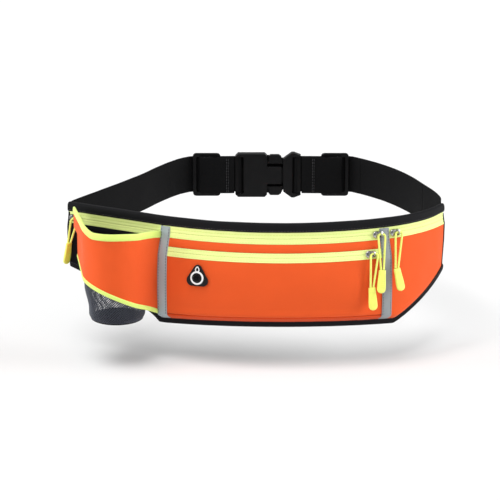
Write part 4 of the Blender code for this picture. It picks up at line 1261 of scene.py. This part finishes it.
def grip_mesh():
    """A moulded grip: a narrow top for the cord, a sunk panel with ribs, and a round foot."""
    foot = GRIP_LENGTH - GRIP_FOOT / 2
    rings = []
    for t in (n / 45 for n in range(46)):
        down = GRIP_LENGTH * t
        half = (GRIP_TOP + (GRIP_FOOT - GRIP_TOP) * smooth(down / foot)) / 2
        if down > foot:
            half = math.sqrt(max((GRIP_FOOT / 2) ** 2 - (down - foot) ** 2, 0.2))
        thick = GRIP_THICK / 2 * (1.0 - 0.1 * math.cos(2 * math.pi * t)) * min(1.0, half / 2.6)
        if down < 0.8:
            lead = math.sqrt(max(1 - (1 - down / 0.8) ** 2, 0.25))
            half, thick = half * (0.86 + 0.14 * lead), thick * lead
        ribs = 0.2 * (0.5 + 0.5 * math.cos(2 * math.pi * down / 2.1)) * inside(down, 9.0, GRIP_LENGTH - 4.0, 0.8)
        sunk = (0.42 - ribs) * inside(down, 4.2, GRIP_LENGTH - 3.2, 1.0)
        rings.append([])
        for x, y in spin(28):
            x, y = half * squared(x, 0.75), thick * squared(y, 0.7)
            y -= math.copysign(sunk * smooth((0.7 * half - abs(x)) / 0.7), y)
            rings[-1].append(Vector((x, y, -down)))
    bm = bmesh.new()
    made = loft(bm, rings)
    for end in (made[0], made[-1][::-1]):
        bm.faces.new(end).smooth = True
    return to_mesh("grip", bm, [LIME_GRIP])


def cord_route(length, side, spread=1.5):
    """The cord's loop from grip to grip, through the eye along X. The eye is at the origin."""
    left, right = -EYE_X - 1.2, EYE_X + 1.6

    def strand(x0, x1):
        shares = (0.12, 0.35, 0.65, 1.0)
        return [(x0 + (x1 - x0) * t, -CORD_AWAY * smooth(length * t / 4), -length * t) for t in shares]

    top = [(left + 0.4, -0.15, -1.6), (left + 1.5, 0, -0.25), (-0.9, 0, 0)]
    top += [(0.9, 0, 0), (right - 1.5, 0, -0.25), (right - 0.4, -0.15, -1.6)]
    lefts, rights = strand(left, side - EYE_X - spread), strand(right, side - EYE_X + spread)
    return through([*reversed(lefts), *top, *rights], 0.9)


def zip_pull(name, slider_data, grip_data):
    """A slider on its zip, the cord through its eye, and the grip at the cord's foot."""
    s = SLIDER_S[name]
    high, low = BAND_LOW if name == "front" else BAND_HIGH
    slope = math.atan((front_out(low) - front_out(high)) / (high - low))
    spot = skin_point(s, (high + low) / 2)
    turn = heading(s)
    if name == "right":
        away = spot.xy - WING_ZIP_CENTRE
        turn = math.atan2(away.x, -away.y)
    carriage = Matrix.Translation(spot * MM) @ Matrix.Rotation(turn, 4, "Z")
    slider = link_object(f"{name}_slider_body", slider_data)
    slider.matrix_world = carriage @ Matrix.Rotation(-slope, 4, "X")
    # the left slider is given the darker copy of the metal, painted shade
    if name == "left":
        slider.material_slots[0].link = "OBJECT"
        slider.material_slots[0].material = METAL_PAINTED_SHADE
    finish_piece(slider, "metal", f"{name}_zip_slider", f"{name}_slider")

    length, side, foot_side, lean = PULLS[name]
    eye = Matrix.Rotation(-slope, 3, "X") @ Vector((EYE_X, -EYE_OUT, 0))
    hang = carriage @ Matrix.Translation(eye * MM) @ Matrix.Rotation(math.radians(-lean), 4, "X")
    route = cord_route(length, side)
    cord = tube(f"{name}_cord", route, CORD_LOOK / 2, 10, LIME_CORD)
    cord.matrix_world = hang
    path = [hang @ (point * MM) for point in route]
    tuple(path[0])
    running(path)[-1]
    finish_piece(cord, "cord", f"{name}_pull_cord", f"{name}_pull")

    grip = link_object(f"{name}_grip", grip_data)
    foot = Matrix.Translation(Vector((side - EYE_X, -CORD_AWAY, -length)) * MM)
    swing = Matrix.Rotation(-math.atan((foot_side - side) / GRIP_LENGTH), 4, "Y")
    twist = Matrix.Rotation(LEFT_GRIP_TWIST if name == "left" else 0.0, 4, "Z")
    grip.matrix_world = hang @ foot @ swing @ twist
    finish_piece(grip, "grip", f"{name}_pull_grip", f"{name}_pull")


# ---------------------------------------------------------------- belt


def loop_route(glide, bar_end, side):
    """The belt through a tri-glide, round a buckle's bar and back. side is +1 when the bar is at +X."""
    behind = GLIDE_THICK / 2 + SLOT_CLEAR + BELT_THICK / 2
    glide_y = BUCKLE_Y + BELT_LIFT
    half = GLIDE_LENGTH / 2

    def spot(along, out):
        return Vector((glide + side * along, glide_y + out))

    head = [
        spot(-half - 4.0, behind - 1.6), spot(1.0 - half, behind), spot(4.0 - half, behind - 0.4), spot(-2.2, -behind),
        spot(2.2, -behind), spot(half - 4.6, behind - 0.4), spot(half - 2.0, behind), spot(half + 1.5, behind - 0.3),
    ]
    start = bar_end - side * 1.0
    middle = Vector((bar_end + side * (BAR - 0.4), BUCKLE_Y))
    turn = [Vector((start, BUCKLE_Y + BAR_BEND))]
    for x, y in (polar(math.pi / 2 - math.pi * n / 16) for n in range(17)):
        turn.append(middle + BAR_BEND * Vector((side * x, y)))
    tail = [
        (start, BUCKLE_Y - BAR_BEND), spot(half + 2.0, -behind - 1.9), spot(half - 6.0, -behind - 2.1),
        spot(-2.0, -behind - 2.1), spot(-7.4, -behind - 1.7),
    ]
    return through(head, 1.0), turn, through(tail, 1.5)


def strap(name, route):
    """Webbing along a route seen from above."""
    rows = steps(BELT_HIGH, BELT_LOW, 2.5)
    lengths = running(route)
    columns = []
    for n, spot in enumerate(route):
        ripple = [0.25 * wobble(lengths[n], z, 30, 6.3) for z in rows]
        away = sideways(route, n)
        columns.append([spot.to_3d() + away * more + Vector((0, 0, z)) for z, more in zip(rows, ripple)])
    flats = [[(along, -z) for z in rows] for along in lengths]
    return sheet(name, columns, flats, [WEBBING], BELT_THICK, 0.0, 0.3)


def bend_strap(name, route, pair, start, end, *nodes):
    """A strap along a route, its shape baked into its mesh; the nodes it replaces are hidden. The pair of bodies and
    the two x positions are not used.
    """
    piece = strap(name, route)
    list(pair)
    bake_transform(piece)
    if nodes:
        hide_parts(*nodes)


def bar_tack(name, route, x, body):
    """Two rows of stitches across a folded end of the belt, on its near face."""
    near = route[closest(route, lambda p: abs(p.x - x))].y - BELT_THICK / 2 - 0.25
    bar = (Vector((0, 0, 1.1)), Vector((0.3, 0, 0)), Vector((0, 0.3, 0)))
    zs = [BELT_LOW + 2.5 + n * (BELT_HIGH - BELT_LOW - 5) / 11 for n in range(12)]
    spots = [(Vector((row, near, z)), *bar) for row in (x - 0.9, x + 0.9) for z in zs]
    finish_piece(beads(name, spots, BLACK_THREAD), "webbing", body=body)


def belt_left():
    left = through([place(1.5, 1.5, 0).xy, *LEFT_ROUTE], 4.0)
    join = Vector(LEFT_ROUTE[LEFT_JOIN])
    cut = closest(left, lambda p: (p - join).length)
    finish_piece(strap("belt_left_side", left[: cut + 1]), "webbing", "belt_left")
    head, turn, tail = loop_route(GLIDE_LEFT, FEMALE_END, 1)
    begin = through([left[cut - 1], *LEFT_ROUTE[LEFT_JOIN:], head[0]], 2.0)
    lead = [p for p in begin if p.x > join.x - 2.2][:-1] + head
    cut = closest(lead, lambda p: abs(p.x - GLIDE_LEFT))
    pair = ("pack", "tri_glide_left")
    bend_strap("belt_left_lead", lead[: cut + 1], pair, GLIDE_LEFT - 34, GLIDE_LEFT - 16, "belt_left_run")
    bend_strap("belt_left_loop", lead[cut:] + turn, pair[::-1], GLIDE_LEFT + 15, GLIDE_LEFT + 27)
    finish_piece(strap("belt_left_tail", tail), "webbing")
    bar_tack("belt_left_tack", tail, -36.5, "pack")


def belt_right():
    right = through([place(BACK_LENGTH - 1.5, 1.6, 0).xy, *RIGHT_ROUTE], 4.0)
    cut = closest(right, lambda p: (p - Vector(RIGHT_ROUTE[RIGHT_JOIN])).length)
    finish_piece(strap("belt_right_side", right[cut::-1]), "webbing", "belt_right")
    head, turn, tail = loop_route(GLIDE_RIGHT, MALE_END, -1)
    begin = through([right[cut], *RIGHT_ROUTE[RIGHT_JOIN + 1 :], head[0]], 2.0)
    join = closest(begin, lambda p: (p - Vector(RIGHT_ROUTE[-1])).length)
    bend_strap("belt_right_lead", begin[join::-1], ("pack", "buckle_male"), 166.0, 109.0, "belt_right_run")
    lead = begin[join:-1] + head
    cut = closest(lead, lambda p: abs(p.x - GLIDE_RIGHT))
    pair = ("buckle_male", "tri_glide_right")
    bend_strap("belt_right_glide", lead[cut::-1], pair, 107.0, 97.0)
    bend_strap("belt_right_loop", (lead[cut:] + turn)[::-1], pair[::-1], 64.0, 55.0)
    finish_piece(strap("belt_right_tail", tail[::-1]), "webbing", body="buckle_male")
    bar_tack("belt_right_tack", tail, 56.5, "buckle_male")


def rounded_box(name, body, *ranges, bevel=0.5, segments=3):
    """A moulded plate that fills three ranges: x, y from the buckle's plane and z from the belt's middle."""
    size = [(high - low) * MM for low, high in ranges]
    middle = Vector([(low + high) / 2 for low, high in ranges]) + Vector((0, BUCKLE_Y, BELT_MIDDLE))
    bm = bmesh.new()
    bmesh.ops.create_cube(bm, size=1.0, matrix=Matrix.Translation(middle * MM) @ Matrix.Diagonal((*size, 1.0)))
    plate = from_bmesh(name, bm, [PLASTIC], outward_faces=False)
    modifier(plate, "BEVEL", width=bevel * MM, segments=segments)
    finish_piece(plate, "plastic", body=body)


MOULDED = ("buckle_female", "buckle_male", "release_arm_upper", "release_arm_lower", "tri_glide_left", "tri_glide_right")


def plastics():
    """Thin walls close the buckle's housing, its bars' slots and the tri-glides' slots beyond the belt's edges.

    The buckle and tri-glides keep their CAD solids, with rounder edges and a moulded grain.
    """
    rounded_box("buckle_rear_wall", "pack", (2.0, 15.5), (2.6, 4.3), (-21.2, 21.2))
    rounded_box("buckle_rear_lip", "pack", (14.0, 27.0), (4.06, 5.0), (-18.0, 18.0))
    rounded_box("buckle_female_bar_wall", "pack", (-20.3, -17.5), (0.6, 3.0), (-20.9, 20.9))
    rounded_box("buckle_male_bar_wall", "buckle_male", (32.4, 35.4), (0.4, 2.6), (-20.9, 20.9))
    for side, x in (("left", GLIDE_LEFT), ("right", GLIDE_RIGHT)):
        for end, z in (("top", 21.25), ("foot", -21.25)):
            ranges = ((x - 11.5, x + 11.5), (BELT_LIFT - 1.05, BELT_LIFT + 1.05), (z - 1.55, z + 1.55))
            rounded_box(f"tri_glide_{side}_{end}_lip", f"tri_glide_{side}", *ranges, bevel=0.4, segments=2)
    for name in MOULDED:
        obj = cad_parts[name]
        obj.data.materials.clear()
        obj.data.materials.append(PLASTIC)
        modifier(obj, "WELD", merge_threshold=1e-5)
        modifier(obj, "BEVEL", width=0.55 * MM, segments=3, limit_method="ANGLE", angle_limit=math.radians(40))


# ---------------------------------------------------------------- stage, light and camera


def stage():
    bm = bmesh.new()
    corners = [(x * FLOOR_HALF, y * FLOOR_HALF, FLOOR) for x, y in ((-1, -1), (1, -1), (1, 1), (-1, 1))]
    bm.faces.new([bm.verts.new(corner) for corner in corners])
    look = Look("pale_floor", (0.82, 0.82, 0.82), 0.9)
    look.tint(look.noise(0.6, 2.0, look.space), 0.995, 1.0)
    from_bmesh("floor", bm, [look.material], outward_faces=False)


def soft_sun(name, azimuth, elevation, spread, strength):
    """A broad even light from a direction. Azimuth 0 is the viewer's side and 90 is the viewer's right."""
    lamp = bpy.data.lights.new(name, "SUN")
    lamp.energy = strength
    lamp.angle = math.radians(spread)
    obj = link_object(name, lamp)
    turn, rise = math.radians(azimuth), math.radians(elevation)
    towards = Vector((math.sin(turn) * math.cos(rise), -math.cos(turn) * math.cos(rise), math.sin(rise)))
    obj.location = towards * 3
    obj.rotation_euler = towards.to_track_quat("Z", "Y").to_euler()


def studio():
    world = bpy.data.worlds.new("studio")
    bpy.context.scene.world = world
    world.use_nodes = True
    background = world.node_tree.nodes["Background"]
    background.inputs["Color"].default_value = (1, 1, 1, 1)
    background.inputs["Strength"].default_value = 0.37
    soft_sun("overhead", -40, 69, 38, 1.9)
    soft_sun("left_side", -84, 16, 40, 1.8)
    soft_sun("right_side", 84, 16, 40, 2.5)


def camera():
    lens = bpy.data.cameras.new("camera")
    lens.lens = CAMERA_LENS
    lens.sensor_width = 36.0
    lens.clip_start = 0.05
    lens.clip_end = 50.0
    obj = link_object("camera", lens)
    back = Vector((0, -math.cos(CAMERA_ELEVATION), math.sin(CAMERA_ELEVATION)))
    obj.location = CAMERA_AIM + back * CAMERA_DISTANCE
    obj.rotation_mode = "QUATERNION"
    obj.rotation_quaternion = (-back).to_track_quat("-Z", "Y")
    bpy.context.scene.camera = obj


# ---------------------------------------------------------------- assembly

panels()
lining()
reflective("left", LEFT_STRIP)
reflective("right", RIGHT_STRIP)
bindings()
bottle_wrap()
mesh_cup()
port()
SLIDER = slider_mesh()
GRIP = grip_mesh()
for zip_name in ZIP_SPANS:
    zip_tapes(zip_name)
    zip_pull(zip_name, SLIDER, GRIP)
belt_left()
belt_right()
plastics()
stage()
studio()
camera()
bpy.context.scene.view_settings.view_transform = "Standard"
bpy.context.view_layer.update()
